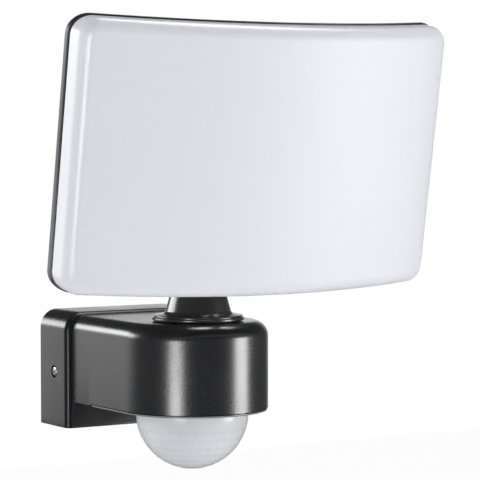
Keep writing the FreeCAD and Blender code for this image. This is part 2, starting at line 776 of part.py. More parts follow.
def lens_ring():
    """The ring that clamps the lens lip to the underside plate and carries the sensor board on four posts."""
    foot = "-arm_bottom + skirt_rise + dome_lip_thick"
    inner = "dome_radius - dome_wall"
    outer = "dome_radius + dome_lip + lens_ring_width - 1.6"
    ring = cut("lens_ring_flat",
               rod("lens_ring_outer", ("0", "-drum_depth", foot), "z", outer, "lens_ring_thick"),
               rod("lens_ring_bore", ("0", "-drum_depth", f"{foot} - 1"), "z", inner, "lens_ring_thick + 2"))
    skirt = cut("lens_ring_skirt",
                rod("lens_skirt_outer", ("0", "-drum_depth", "-arm_bottom + skirt_rise"), "z", outer,
                    "dome_lip_thick + 0.5"),
                rod("lens_skirt_bore", ("0", "-drum_depth", "-arm_bottom + skirt_rise - 1"), "z",
                    "dome_radius + dome_lip + plate_gap", "dome_lip_thick + 2"))
    posts = []
    holes = []
    for i, (x, y) in enumerate(FRONT_SENSOR_POSTS):
        at = (x, y, f"{foot} + lens_ring_thick / 2")
        posts.append(rod(f"lens_ring_post_{i}", at, "z", "sensor_post_radius",
                         f"-sensor_board_drop - ({foot} + lens_ring_thick / 2)"))
        holes.append(board_screw_hole(f"lens_ring_hole_{i}", x, y))
    piece("lens_ring", cut("lens_ring_solid", fuse("lens_ring_sum", ring, skirt, *posts), *holes))


def board_screw_hole(name, x, y):
    """The blind hole below the sensor board that takes one of its screws."""
    depth = "(board_shank_length - board_thick + 0.3)"
    return rod(name, (x, y, f"-sensor_board_drop - {depth}"), "z", "board_shank_radius + running_gap", f"{depth} + 1")


FRONT_SENSOR_POSTS = [
    (f"{side}sensor_post_circle * cos(sensor_post_angle * 1 deg)",
     f"-drum_depth {end} sensor_post_circle * sin(sensor_post_angle * 1 deg)")
    for side in ("-", "")
    for end in ("-", "+")
]


def sensor_electronics():
    under = "-sensor_board_drop"
    board = block("sensor_board_sheet", ("-sensor_board_width / 2", "sensor_board_width / 2"),
                  ("-sensor_board_front", "-sensor_board_back"), (under, f"{under} + board_thick"))
    holes = [
        rod(f"dial_way_{name}", (x, "-dial_depth", f"{under} - 1"), "z", "dial_shaft_radius + dial_gap",
            "board_thick + 2")
        for name, x in DIALS
    ]
    spots = FRONT_SENSOR_POSTS + [(x, REAR_SENSOR_Y) for x in REAR_SENSOR_POSTS]
    holes += [rod(f"sensor_board_hole_{i}", (x, y, f"{under} - 1"), "z", "board_hole_radius", "board_thick + 2")
              for i, (x, y) in enumerate(spots)]
    piece("sensor_board", cut("sensor_board_solid", board, *holes))
    can = turned("pyro_sensor_turned", [
        ("0", "0"),
        ("pyro_radius - 0.6", "0"),
        ("pyro_radius - 0.6", "pyro_height - pyro_flange"),
        ("pyro_radius", "pyro_height - pyro_flange"),
        ("pyro_radius", "pyro_height"),
        ("0", "pyro_height"),
    ])
    window = block("pyro_window", ("-2", "2"), ("-1.5", "1.5"), ("-1", "0.3"))
    sensor = cut("pyro_sensor_solid", can, window)
    put(sensor, ("0", "-drum_depth", f"{under} - pyro_height"))
    piece("pyro_sensor", sensor)
    bases = []
    for name, x in DIALS:
        half = "dial_base_side / 2"
        solid = block(f"{name}_base_block", (f"{x} - {half}", f"{x} + {half}"),
                      (f"-dial_depth - {half}", f"-dial_depth + {half}"), (f"{under} - dial_base_thick", under))
        bore = rod(f"{name}_base_bore", (x, "-dial_depth", f"{under} - dial_base_thick - 1"), "z",
                   "dial_shaft_radius + running_gap", "dial_base_thick + 2")
        bases.append(cut(f"{name}_base", solid, bore))
    piece("dial_bases", group("dial_base_set", *bases))
    screws = screw("board_screw", "board_head_radius", "board_head_height", "board_shank_radius",
                   "board_shank_length")
    return screws, [(x, y, f"{under} + board_thick", "z") for x, y in spots]


def dials():
    """Three setting dials, each a slotted knob in its well with a shaft up into its potentiometer."""
    foot = "-arm_bottom + 0.2"
    for name, x in DIALS:
        knob = turned(f"{name}_dial_turned", [
            ("0", "0"),
            ("dial_radius - 0.5", "0"),
            ("dial_radius", "0.5"),
            ("dial_radius", "dial_thick"),
            ("dial_shaft_radius", "dial_thick"),
            ("dial_shaft_radius", "arm_bottom - 0.2 - sensor_board_drop"),
            ("0", "arm_bottom - 0.2 - sensor_board_drop"),
        ])
        half = "dial_slot_width / 2"
        slot = block(f"{name}_dial_slot", (f"-{half}", half), ("-dial_radius * 0.7", "dial_radius * 0.7"),
                     ("-1", "dial_slot_depth"))
        dial = cut(f"{name}_dial_solid", knob, slot)
        put(dial, (x, "-dial_depth", foot))
        piece(f"{name}_dial", dial)


def power_board():
    base = "power_board_rise"
    top = "power_board_rise + board_thick"
    board = block("power_board_sheet", ("-power_board_width / 2", "power_board_width / 2"),
                  ("-power_board_front", "-power_board_back"), (base, top))
    holes = [rod(f"power_board_hole_{i}", (x, y, f"{base} - 1"), "z", "board_hole_radius", "board_thick + 2")
             for i, (x, y) in enumerate(POWER_POSTS)]
    piece("power_board", cut("power_board_solid", board, *holes))
    middle = "(power_board_back + power_board_front) / 2"
    relay_block = block("relay_block", ("-relay_width - 3", "-3"), (f"-{middle} - relay_length - 2", f"-{middle} - 2"),
                        (top, f"{top} + relay_height"))
    piece("relay", relay_block)
    core = block("transformer_core", ("2", "2 + transformer_width"),
                 (f"-{middle} - transformer_length / 2", f"-{middle} + transformer_length / 2"),
                 (f"{top} + 3", f"{top} + transformer_height - 3"))
    winding = block("transformer_winding", ("5", "transformer_width - 1"),
                    (f"-{middle} - transformer_length / 2 + 3", f"-{middle} + transformer_length / 2 - 3"),
                    (top, f"{top} + transformer_height"))
    piece("transformer", fuse("transformer_solid", core, winding))
    can = turned("capacitor_turned", [
        ("0", "0"),
        ("capacitor_radius", "0"),
        ("capacitor_radius", "2"),
        ("capacitor_radius - 0.4", "2.4"),
        ("capacitor_radius", "2.8"),
        ("capacitor_radius", "capacitor_height - 0.6"),
        ("capacitor_radius - 0.6", "capacitor_height"),
        ("0", "capacitor_height"),
    ])
    put(can, ("-capacitor_radius - 6", f"-{middle} + capacitor_radius + 4", top))
    piece("capacitor", can)
    return [(x, y, base, "-z") for x, y in POWER_POSTS]


# Neck

def neck():
    low = "arm_top - spigot_length"
    ring = "arm_top + seal_thick"
    tier = f"{ring} + ring_foot"
    lip = f"{tier} + tier_height"
    cone = f"{lip} - 0.2"
    top = f"{cone} + cone_height"
    turned_part = turned("neck_turned", [
        ("lead_bore", low),
        ("spigot_radius", low),
        ("spigot_radius", f"arm_top - shell_wall - 2 * clip_thick"),
        ("spigot_radius - clip_groove", f"arm_top - shell_wall - 2 * clip_thick"),
        ("spigot_radius - clip_groove", f"arm_top - shell_wall - clip_thick"),
        ("spigot_radius", f"arm_top - shell_wall - clip_thick"),
        ("spigot_radius", ring),
        ("ring_radius - 0.5", ring),
        ("ring_radius", f"{ring} + 0.5"),
        ("ring_radius", f"{tier} - 0.4"),
        ("ring_radius - 0.4", tier),
        ("tier_radius", tier),
        ("tier_radius", f"{lip} - 0.4"),
        ("tier_radius - 0.4", lip),
        ("tier_radius - tier_lip", lip),
        ("tier_radius - tier_lip - 0.6", f"{lip} - tier_dish"),
        ("cone_foot_radius + 1.6", f"{lip} - tier_dish"),
        ("cone_foot_radius + 0.4", f"{lip} - tier_dish + 0.4"),
        ("cone_foot_radius", f"{lip} - tier_dish + 1.4"),
        ("cone_top_radius", top),
        ("cone_top_radius", "post_top"),
        ("lead_bore", "post_top"),
    ])
    blade = new_body("neck_blade")
    sketch = sketch_in(blade, "neck_blade_side", "YZ_Plane")
    draw_polygon(sketch, [
        ("-cone_top_radius", "post_top - 1"),
        ("cone_top_radius", "post_top - 1"),
        ("cone_top_radius", "post_top + 1.5"),
        ("knuckle_radius", "hinge_height"),
        ("-knuckle_radius", "hinge_height"),
        ("-cone_top_radius", "post_top + 1.5"),
    ])
    pad(blade, sketch, "knuckle_width", midplane=True)
    column = rod("neck_column", ("0", "0", "post_top - 2"), "z", "cone_top_radius", "hinge_height - post_top + 2")
    stem = common("neck_stem", blade, column)
    knuckle = rod("neck_knuckle", ("-knuckle_width / 2", "0", "hinge_height"), "x", "knuckle_radius",
                  "knuckle_width")
    holes = [
        rod("hinge_bore", ("-knuckle_width", "0", "hinge_height"), "x", "bolt_radius + running_gap",
            "2 * knuckle_width"),
        rod("lead_way", ("0", "0", "post_top - 3"), "z", "lead_bore", "6"),
        rod("lead_exit", ("0", "0", "post_top + 2"), "-y", "lead_bore - 1", "cone_top_radius + 2"),
    ]
    solid = cut("neck_solid", fuse("neck_sum", turned_part, stem, knuckle), *holes)
    put(solid, ("0", "-neck_depth", "0"))
    piece("neck", solid)
    seal = turned("neck_seal_turned", [
        ("spigot_radius + 1.5", "arm_top"),
        ("tier_radius - 1.5", "arm_top"),
        ("tier_radius - 1.5", "arm_top + seal_thick"),
        ("spigot_radius + 1.5", "arm_top + seal_thick"),
    ])
    piece("neck_seal", put(seal, ("0", "-neck_depth", "0")))
    groove = "arm_top - shell_wall - 2 * clip_thick"
    clip = cut("neck_clip_open", turned("neck_clip_turned", [
        ("spigot_radius - clip_groove + running_gap", groove),
        ("spigot_radius + clip_reach", groove),
        ("spigot_radius + clip_reach", f"{groove} + clip_thick"),
        ("spigot_radius - clip_groove + running_gap", f"{groove} + clip_thick"),
    ]), block("neck_clip_gap", ("-3", "3"), ("0", "2 * spigot_radius"), (f"{groove} - 1", f"{groove} + clip_thick + 1")))
    piece("neck_clip", put(clip, ("0", "-neck_depth", "0")))
    washer = turned("neck_washer_turned", [
        ("spigot_radius + 0.2", f"{groove} + clip_thick"),
        ("spigot_radius + clip_reach", f"{groove} + clip_thick"),
        ("spigot_radius + clip_reach", "arm_top - shell_wall"),
        ("spigot_radius + 0.2", "arm_top - shell_wall"),
    ])
    piece("neck_washer", put(washer, ("0", "-neck_depth", "0")))


# Light panel, drawn about the hinge axis

AXIS_Y = "(panel_radius - panel_back)"


def panel_form(name, inset, corner, inner, outer):
    """A round-cornered slab of the panel, bent about the panel's upright axis between two layers."""
    prism = new_body(name + "_prism")
    sketch = sketch_in(prism, name + "_outline", "XZ_Plane")
    side = f"panel_width / 2 - ({inset})"
    rise = f"panel_height / 2 - ({inset})"
    draw_rounded(sketch, f"-({side})", side, f"panel_rise - ({rise})", f"panel_rise + ({rise})", corner, corner)
    pad(prism, sketch, "panel_back + 2 * diffuser_front")
    at = ("0", AXIS_Y, "panel_rise - panel_height")
    outside = rod(name + "_outside", at, "z", f"panel_radius + ({outer})", "2 * panel_height")
    inside = rod(name + "_inside", at, "z", f"panel_radius + ({inner})", "2 * panel_height")
    return common(name + "_slab", prism, cut(name + "_layer", outside, inside))


def round_front(name, slab, layer, edge):
    """Rounds every edge of a slab that lies on its outer layer."""
    body = body_from(name, slab)
    centre = V(0, size("panel_radius") - size("panel_back"), 0)
    reach = size("panel_radius") + layer

    def on_front(point):
        return abs(math.hypot(point.x - centre.x, point.y - centre.y) - reach) < NEAR

    round_edges(body, body.Group[0], edge, on_front)
    return body


PANEL_SCREWS = [
    (f"{side} * (panel_width / 2 - panel_screw_inset)", f"panel_rise {end} panel_screw_side_rise")
    for side in (-1, 1)
    for end in ("-", "+")
] + [
    (f"{side} * panel_screw_end", f"panel_rise {end} (panel_height / 2 - panel_screw_end_inset)")
    for side in (-1, 1)
    for end in ("-", "+")
]


def back_at(x):
    """How far forward of the hinge the panel's back lies at a distance from the middle."""
    return f"(sqrt(panel_radius ^ 2 - ({x}) ^ 2) - {AXIS_Y})"


DRIVER_SCREWS = [
    (f"{side} * (driver_width / 2 - driver_screw_inset)", f"driver_rise {end} (driver_height / 2 - driver_screw_inset)")
    for side in (-1, 1)
    for end in ("-", "+")
]


def back_housing():
    plate = panel_form("housing_plate", "0", "panel_corner", "0", "rim_height")
    tray = panel_form("housing_tray", "rim_thick", "panel_corner - rim_thick", "plate_skin", "rim_height + 5")
    parts = [cut("housing_dish", plate, tray)]
    ribs = []
    for side in (-1, 1):
        for i in range(int(size("rib_count"))):
            x = f"{side} * (panel_width / 2 - rib_margin - (rib_count - 1 - {i}) * rib_pitch)"
            ribs.append(block(f"rib_{'left' if side < 0 else 'right'}_{i}",
                              (f"{x} - rib_thick / 2", f"{x} + rib_thick / 2"),
                              ("-panel_back", "-panel_back / 3"),
                              ("panel_rise - rib_height / 2", "panel_rise + rib_height / 2")))
    layer = cut("rib_layer",
                rod("rib_outside", ("0", AXIS_Y, "panel_rise - panel_height"), "z", "panel_radius + plate_skin / 2",
                    "2 * panel_height"),
                rod("rib_inside", ("0", AXIS_Y, "panel_rise - panel_height"), "z", "panel_radius - rib_depth",
                    "2 * panel_height"))
    parts.append(common("ribs", group("rib_blocks", *ribs), layer))
    half = "driver_width / 2"
    rise = "driver_height / 2"
    seat_body = new_body("driver_seat")
    seat_sketch = sketch_in(seat_body, "driver_seat_outline", "XZ_Plane", "driver_front + driver_seal_thick")
    draw_rounded(seat_sketch, f"-{half}", half, f"driver_rise - {rise}", f"driver_rise + {rise}", "driver_corner",
                 "driver_corner")
    pad(seat_body, seat_sketch, "panel_back - driver_front")
    room_body = new_body("driver_seat_room")
    room_sketch = sketch_in(room_body, "driver_room_outline", "XZ_Plane", "driver_front - 1")
    draw_rounded(room_sketch, f"-({half} - seat_wall)", f"{half} - seat_wall", f"driver_rise - ({rise} - seat_wall)",
                 f"driver_rise + ({rise} - seat_wall)", "driver_corner / 3", "driver_corner / 3")
    pad(room_body, room_sketch, "panel_back")
    reach = rod("seat_reach", ("0", AXIS_Y, "panel_rise - panel_height"), "z", "panel_radius + plate_skin / 2",
                "2 * panel_height")
    floor = rod("room_reach", ("0", AXIS_Y, "panel_rise - panel_height"), "z", "panel_radius",
                "2 * panel_height")
    seat = cut("driver_seat_frame", common("driver_seat_solid", seat_body, reach),
               common("driver_seat_hollow", room_body, floor))
    parts.append(seat)
    posts = [
        common(f"seat_post_{i}_whole",
               rod(f"seat_post_{i}", (x, "-driver_front - driver_seal_thick", z), "-y", "driver_boss_radius",
                   "panel_back - driver_front"), reach)
        for i, (x, z) in enumerate(DRIVER_SCREWS)
    ]
    bosses = []
    for i, (x, z) in enumerate(PANEL_SCREWS):
        rear = f"-({back_at(x)} - panel_boss_height)"
        bosses.append(rod(f"panel_boss_{i}", (x, rear, z), "-y", "panel_boss_radius",
                          "panel_boss_height + plate_skin * 0.6"))
    solid = fuse("back_housing_sum", *parts, *posts, *bosses)
    holes = []
    for i, (x, z) in enumerate(PANEL_SCREWS):
        holes.append(rod(f"panel_way_{i}", (x, "0", z), "-y", "panel_shank_radius + plate_gap", "2 * panel_back"))
    for i, (x, z) in enumerate(DRIVER_SCREWS):
        holes.append(rod(f"seat_screw_way_{i}", (x, "0", z), "-y", "driver_screw_radius + running_gap",
                         "driver_front + 9"))
    holes.append(rod("lamp_lead_way", ("0", "0", "driver_rise"), "-y", "lead_hole_radius", "2 * panel_back"))
    piece("back_housing", cut("back_housing_solid", solid, *holes), in_head=True)


def diffuser():
    """The opal cover: a bent tray with a deep round front edge and screw posts inside."""
    inset = "diffuser_inset"
    slab = panel_form("diffuser_block", inset, f"panel_corner - {inset}", "rim_height + panel_seal_thick",
                      "diffuser_front")
    outer = round_front("diffuser_outer", slab, size("diffuser_front"), "diffuser_edge")
    deep = f"{inset} + diffuser_wall"
    core = panel_form("diffuser_core", deep, f"panel_corner - ({deep})", "rim_height - 5",
                      "diffuser_front - diffuser_wall")
    inner = round_front("diffuser_inner", core, size("diffuser_front") - size("diffuser_wall"),
                        "diffuser_edge - diffuser_wall")
    shell = cut("diffuser_shell", outer, inner)
    layer = cut("post_layer",
                rod("post_outside", ("0", AXIS_Y, "panel_rise - panel_height"), "z",
                    "panel_radius + diffuser_front - diffuser_wall / 2", "2 * panel_height"),
                rod("post_inside", ("0", AXIS_Y, "panel_rise - panel_height"), "z",
                    "panel_radius + plate_skin + plate_gap", "2 * panel_height"))
    posts = []
    holes = []
    for i, (x, z) in enumerate(PANEL_SCREWS):
        posts.append(rod(f"inner_post_{i}", (x, "0", z), "-y", "inner_boss_radius", "panel_back + diffuser_front"))
        holes.append(rod(f"inner_post_hole_{i}", (x, f"-{back_at(x)} + panel_shank_length", z), "-y",
                         "panel_shank_radius + running_gap", "2 * panel_shank_length"))
    standing = common("diffuser_posts", group("post_rods", *posts), layer, outer)
    piece("diffuser", cut("diffuser_solid", fuse("diffuser_sum", shell, standing), *holes), in_head=True)


def panel_seal():
    """The thin dark ring between rim and opal cover."""
    ring = cut(
        "panel_seal_ring",
        panel_form("seal_outer", "panel_seal_inset", "panel_corner - panel_seal_inset", "rim_height",
                   "rim_height + panel_seal_thick"),
        panel_form("seal_inner", "rim_thick - 0.4", "panel_corner - rim_thick + 0.4", "rim_height - 1",
                   "rim_height + panel_seal_thick + 1"),
    )
    piece("panel_seal", ring, in_head=True)


STRIP_HEIGHT = "(panel_height - 2 * (panel_screw_end_inset + inner_boss_radius + strip_end_gap))"


def light_source():
    count = int(size("strip_count"))
    across = size("panel_width") - 2 * size("reflector_inset")
    pitch = (across - 2 * size("strip_margin") - size("strip_width")) / (count - 1)
    ends = size("panel_screw_end_inset") + size("inner_boss_radius") + size("strip_end_gap")
    chip_run = size("panel_height") - 2 * (ends + size("chip_margin"))
    strips = []
    chips = []
    slots = []
    for i in range(count):
        x = (i - (count - 1) / 2) * pitch
        turn = FreeCAD.Rotation(V(0, 0, 1), -math.degrees(math.asin(x / size("panel_radius"))))
        reach = size("panel_radius") + size("plate_skin") + size("strip_pad")
        local = V(0, -reach, 0)
        base = turn.multVec(local) + V(0, size("panel_radius") - size("panel_back"), size("panel_rise"))
        strips.append(flat_on_arc(f"strip_{i}", base, turn, "strip_width", "strip_thick", STRIP_HEIGHT, 0))
        slots.append(flat_on_arc(f"reflector_slot_{i}", base, turn, "strip_width + 2 * reflector_slot_gap",
                                 "strip_thick * 6", f"{STRIP_HEIGHT} + 2 * reflector_slot_gap", -2))
        for j in range(int(size("chip_count"))):
            rise = (j / (size("chip_count") - 1) - 0.5) * chip_run
            spot = base + turn.multVec(V(0, -size("strip_thick"), 0)) + V(0, 0, rise)
            chips.append(flat_on_arc(f"chip_{i}_{j}", spot, turn, "chip_width", "chip_thick", "chip_height", 0))
    piece("led_strips", group("led_strip_set", *strips), in_head=True)
    piece("led_chips", group("led_chip_set", *chips), in_head=True)
    prism = new_body("reflector_prism")
    sketch = sketch_in(prism, "reflector_outline", "XZ_Plane")
    side = "(panel_width / 2 - reflector_inset)"
    rise = f"({STRIP_HEIGHT} / 2 + reflector_slot_gap + reflector_bridge)"
    draw_rounded(sketch, f"-{side}", side, f"panel_rise - {rise}", f"panel_rise + {rise}", "reflector_corner",
                 "reflector_corner")
    pad(prism, sketch, "panel_back + 2 * diffuser_front")
    at = ("0", AXIS_Y, "panel_rise - panel_height")
    layer = cut("reflector_layer",
                rod("reflector_outside", at, "z", "panel_radius + plate_skin + reflector_thick", "2 * panel_height"),
                rod("reflector_inside", at, "z", "panel_radius + plate_skin", "2 * panel_height"))
    piece("reflector", cut("reflector_solid", common("reflector_sheet", prism, layer), *slots), in_head=True)


def flat_on_arc(name, base, turn, width, depth, height, lift):
    """An upright box whose back lies at a spot of the bent plate and whose front faces outwards."""
    thing = doc.addObject("Part::Box", name)
    bind(thing, "Length", width)
    bind(thing, "Width", depth)
    bind(thing, "Height", height)
    doc.recompute()
    corner = V(-thing.Length.Value / 2, -thing.Width.Value - lift, -thing.Height.Value / 2)
    thing.Placement = FreeCAD.Placement(base + turn.multVec(corner), turn)
    return thing


def panel_screws():
    one = screw("panel_screw", "panel_head_radius", "panel_head_height", "panel_shank_radius", "panel_shank_length")
    copies = []
    for i, (x, z) in enumerate(PANEL_SCREWS):
        at = (x, f"-({back_at(x)} - panel_boss_height)", z)
        copies.append(copy_of(one, f"panel_screw_{i}", at, "y"))
    piece("panel_screws", group("panel_screw_set", *copies), in_head=True)


# Driver box

BRACKET_SCREWS = [
    (f"{side} * bracket_screw_side", z)
    for side in (-1, 1)
    for z in ("bracket_foot + bracket_screw_inset", "bracket_foot + bracket_height - bracket_screw_inset")
]


def driver_box():
    half = "driver_width / 2"
    rise = "driver_height / 2"
    outer_body = new_body("driver_shell_outer")
    sketch = sketch_in(outer_body, "driver_outline", "XZ_Plane", "driver_rear")
    draw_rounded(sketch, f"-{half}", half, f"driver_rise - {rise}", f"driver_rise + {rise}", "driver_corner",
                 "driver_corner")
    base = pad(outer_body, sketch, "driver_front - driver_rear")
    doc.recompute()
    rear = base.Shape.BoundBox.YMax
    round_edges(outer_body, base, "driver_edge", lambda point: point.y > rear - NEAR)
    inner_body = new_body("driver_shell_inner")
    inner_sketch = sketch_in(inner_body, "driver_inner_outline", "XZ_Plane", "driver_rear + driver_wall")
    draw_rounded(inner_sketch, f"-({half} - driver_wall)", f"{half} - driver_wall",
                 f"driver_rise - ({rise} - driver_wall)", f"driver_rise + ({rise} - driver_wall)",
                 "driver_corner - driver_wall", "driver_corner - driver_wall")
    pad(inner_body, inner_sketch, "driver_front - driver_rear")
    shell = cut("driver_shell", outer_body, inner_body)
    root = "-driver_rear - driver_wall / 2"
    posts = []
    for i, (x, z) in enumerate(DRIVER_SCREWS):
        posts.append(rod(f"driver_post_{i}", (x, root, z), "-y", "driver_boss_radius",
                         "driver_front - driver_rear - driver_wall / 2"))
    for i, (x, z) in enumerate(DRIVER_BOARD_POSTS):
        posts.append(rod(f"driver_board_post_{i}", (x, root, z), "-y", "driver_post_radius",
                         "driver_board_front - board_thick - driver_rear - driver_wall / 2"))
    depth = "(bracket_screw_length - bracket_thick)"
    for i, (x, z) in enumerate(BRACKET_SCREWS):
        posts.append(rod(f"bracket_post_{i}", (x, root, z), "-y", "driver_post_radius + 1",
                         f"{depth} - driver_wall / 2 + 1"))
    solid = fuse("driver_box_sum", shell, *posts)
    holes = [rod("lead_hole", ("0", "0", "lead_hole_rise"), "-y", "lead_hole_radius", "driver_rear + driver_wall * 2")]
    for i, (x, z) in enumerate(DRIVER_SCREWS):
        holes.append(rod(f"driver_screw_way_{i}", (x, "0", z), "-y", "driver_screw_radius + plate_gap",
                         "driver_front + 1"))
        holes.append(rod(f"driver_screw_sink_{i}", (x, "0", z), "-y", "driver_screw_head + plate_gap",
                         "driver_rear + driver_wall"))
    for i, (x, z) in enumerate(BRACKET_SCREWS):
        holes.append(rod(f"bracket_post_hole_{i}", (x, "0", z), "-y", "driver_screw_radius + running_gap",
                         f"driver_rear + {depth} + 0.4"))
    piece("driver_box", cut("driver_box_solid", solid, *holes), in_head=True)


def hinge_bracket():
    """The foot plate on the driver box with the two hinge ears, and the four screws that hold it."""
    half = "(knuckle_width / 2 + washer_thick + ear_thick)"
    foot_body = new_body("bracket_foot_body")
    sketch = sketch_in(foot_body, "bracket_outline", "XZ_Plane", "driver_rear - bracket_thick")
    draw_rounded(sketch, f"-{half}", half, "bracket_foot", "bracket_foot + bracket_height", "bracket_corner",
                 "bracket_corner")
    pad(foot_body, sketch, "bracket_thick")
    parts = [foot_body]
    for side in (-1, 1):
        label = "left" if side < 0 else "right"
        ear = new_body(f"{label}_ear_web")
        inner = "(knuckle_width / 2 + washer_thick)"
        near = f"-{inner} - ear_thick" if side < 0 else inner
        web_sketch = sketch_in(ear, f"{label}_ear_side", "YZ_Plane", near)
        draw_polygon(web_sketch, [
            ("ear_radius * 0.5", "ear_radius * 0.866"),
            ("-driver_rear + bracket_thick / 2", "bracket_foot + ear_rise"),
            ("-driver_rear + bracket_thick / 2", "bracket_foot + bracket_corner"),
            ("-ear_radius * 0.3", "-ear_radius * 0.954"),
        ])
        pad(ear, web_sketch, "ear_thick")
        parts += [ear, rod(f"{label}_ear_eye", (near, "0", "0"), "x", "ear_radius", "ear_thick")]
    holes = [
        rod("ear_bore", ("-knuckle_width * 2", "0", "0"), "x", "bolt_radius + running_gap", "knuckle_width * 4"),
        rod("bracket_window", ("0", "-driver_rear / 2", "lead_hole_rise"), "-y", "bracket_window_radius",
            "driver_rear"),
    ]
    for i, (x, z) in enumerate(BRACKET_SCREWS):
        holes.append(rod(f"bracket_hole_{i}", (x, "-driver_rear / 2", z), "-y", "driver_screw_radius + plate_gap",
                         "driver_rear"))
    nut = doc.addObject("Part::Prism", "nut_pocket")
    nut.Polygon = 6
    bind(nut, "Circumradius", "nut_radius + running_gap")
    bind(nut, "Height", "6")
    put(nut, (f"{half} - 2", "0", "0"), "x")
    holes.append(nut)
    piece("hinge_bracket", cut("hinge_bracket_solid", fuse("hinge_bracket_sum", *parts), *holes), in_head=True)
    one = screw("bracket_screw", "driver_screw_head", "1.8", "driver_screw_radius", "bracket_screw_length")
    copies = [copy_of(one, f"bracket_screw_{i}", (x, "-driver_rear + bracket_thick", z), "y")
              for i, (x, z) in enumerate(BRACKET_SCREWS)]
    piece("bracket_screws", group("bracket_screw_set", *copies), in_head=True)


DRIVER_BOARD_POSTS = [
    (f"{side} * (driver_board_width / 2 - driver_post_radius - 1)",
     f"driver_rise {end} (driver_board_height / 2 - driver_post_radius - 1)")
    for side in (-1, 1)
    for end in ("-", "+")
]


def driver_parts():
    half = "driver_width / 2"
    rise = "driver_height / 2"
    seal_body = new_body("driver_seal_sheet")
    sketch = sketch_in(seal_body, "driver_seal_outline", "XZ_Plane", "driver_front")
    draw_rounded(sketch, f"-{half}", half, f"driver_rise - {rise}", f"driver_rise + {rise}", "driver_corner",
                 "driver_corner")
    pad(seal_body, sketch, "driver_seal_thick")
    room = block("driver_seal_room", (f"-{half} + driver_wall", f"{half} - driver_wall"),
                 ("-driver_front - 2", "-driver_front + 1"),
                 (f"driver_rise - {rise} + driver_wall", f"driver_rise + {rise} - driver_wall"))
    pads = [rod(f"seal_pad_{i}", (x, "-driver_front", z), "-y", "driver_boss_radius", "driver_seal_thick")
            for i, (x, z) in enumerate(DRIVER_SCREWS)]
    holes = [rod(f"seal_hole_{i}", (x, "-driver_front + 1", z), "-y", "driver_screw_radius + plate_gap", "3")
             for i, (x, z) in enumerate(DRIVER_SCREWS)]
    piece("driver_seal", cut("driver_seal_solid", fuse("driver_seal_sum", cut("driver_seal_ring", seal_body, room),
                                                       *pads), *holes), in_head=True)
    one = screw("driver_screw", "driver_screw_head", "1.8", "driver_screw_radius", "driver_front - driver_rear + 4")
    copies = [copy_of(one, f"driver_screw_{i}", (x, "-driver_rear - driver_wall", z), "y")
              for i, (x, z) in enumerate(DRIVER_SCREWS)]
    piece("driver_screws", group("driver_screw_set", *copies), in_head=True)
    back = "-driver_board_front + board_thick"
    board = block("driver_board_sheet", ("-driver_board_width / 2", "driver_board_width / 2"),
                  ("-driver_board_front", back),
                  ("driver_rise - driver_board_height / 2", "driver_rise + driver_board_height / 2"))
    board_holes = [rod(f"driver_board_hole_{i}", (x, "-driver_rear", z), "-y", "1.2", "driver_board_front")
                   for i, (x, z) in enumerate(DRIVER_BOARD_POSTS)]
    piece("driver_board", cut("driver_board_solid", board, *board_holes), in_head=True)
    coil = turned("driver_coil_turned", [
        ("2.5", "0"),
        ("coil_radius", "0"),
        ("coil_radius", "1"),
        ("coil_radius - 1.5", "1"),
        ("coil_radius - 1.5", "coil_height - 1"),
        ("coil_radius", "coil_height - 1"),
        ("coil_radius", "coil_height"),
        ("2.5", "coil_height"),
    ])
    put(coil, ("-coil_side", back, "driver_rise + coil_rise"), "y")
    piece("driver_coil", group("driver_coil_one", coil), in_head=True)
    can = turned("driver_can_turned", [
        ("0", "0"),
        ("driver_can_radius", "0"),
        ("driver_can_radius", "driver_can_height - 0.6"),
        ("driver_can_radius - 0.6", "driver_can_height"),
        ("0", "driver_can_height"),
    ])
    cans = [copy_of(can, f"driver_can_{i}", (x, back, z), "y")
            for i, (x, z) in enumerate((("driver_can_side", "driver_rise + driver_can_pitch"),
                                        ("driver_can_side", "driver_rise"),
                                        ("driver_can_side + driver_can_shift", "driver_rise - driver_can_pitch")))]
    piece("driver_capacitors", group("driver_can_set", *cans), in_head=True)
    plug = turned("lead_grommet_turned", [
        ("2.5", "-1.5"),
        ("lead_hole_radius + 1.6", "-1.5"),
        ("lead_hole_radius + 1.6", "0"),
        ("lead_hole_radius", "0"),
        ("lead_hole_radius", "driver_wall"),
        ("lead_hole_radius + 1.2", "driver_wall"),
        ("lead_hole_radius + 0.4", "driver_wall + 1.6"),
        ("2.5", "driver_wall + 1.6"),
    ])
    put(plug, ("0", "-driver_rear", "lead_hole_rise"), "-y")
    piece("lead_grommet", group("lead_grommet_one", plug), in_head=True)


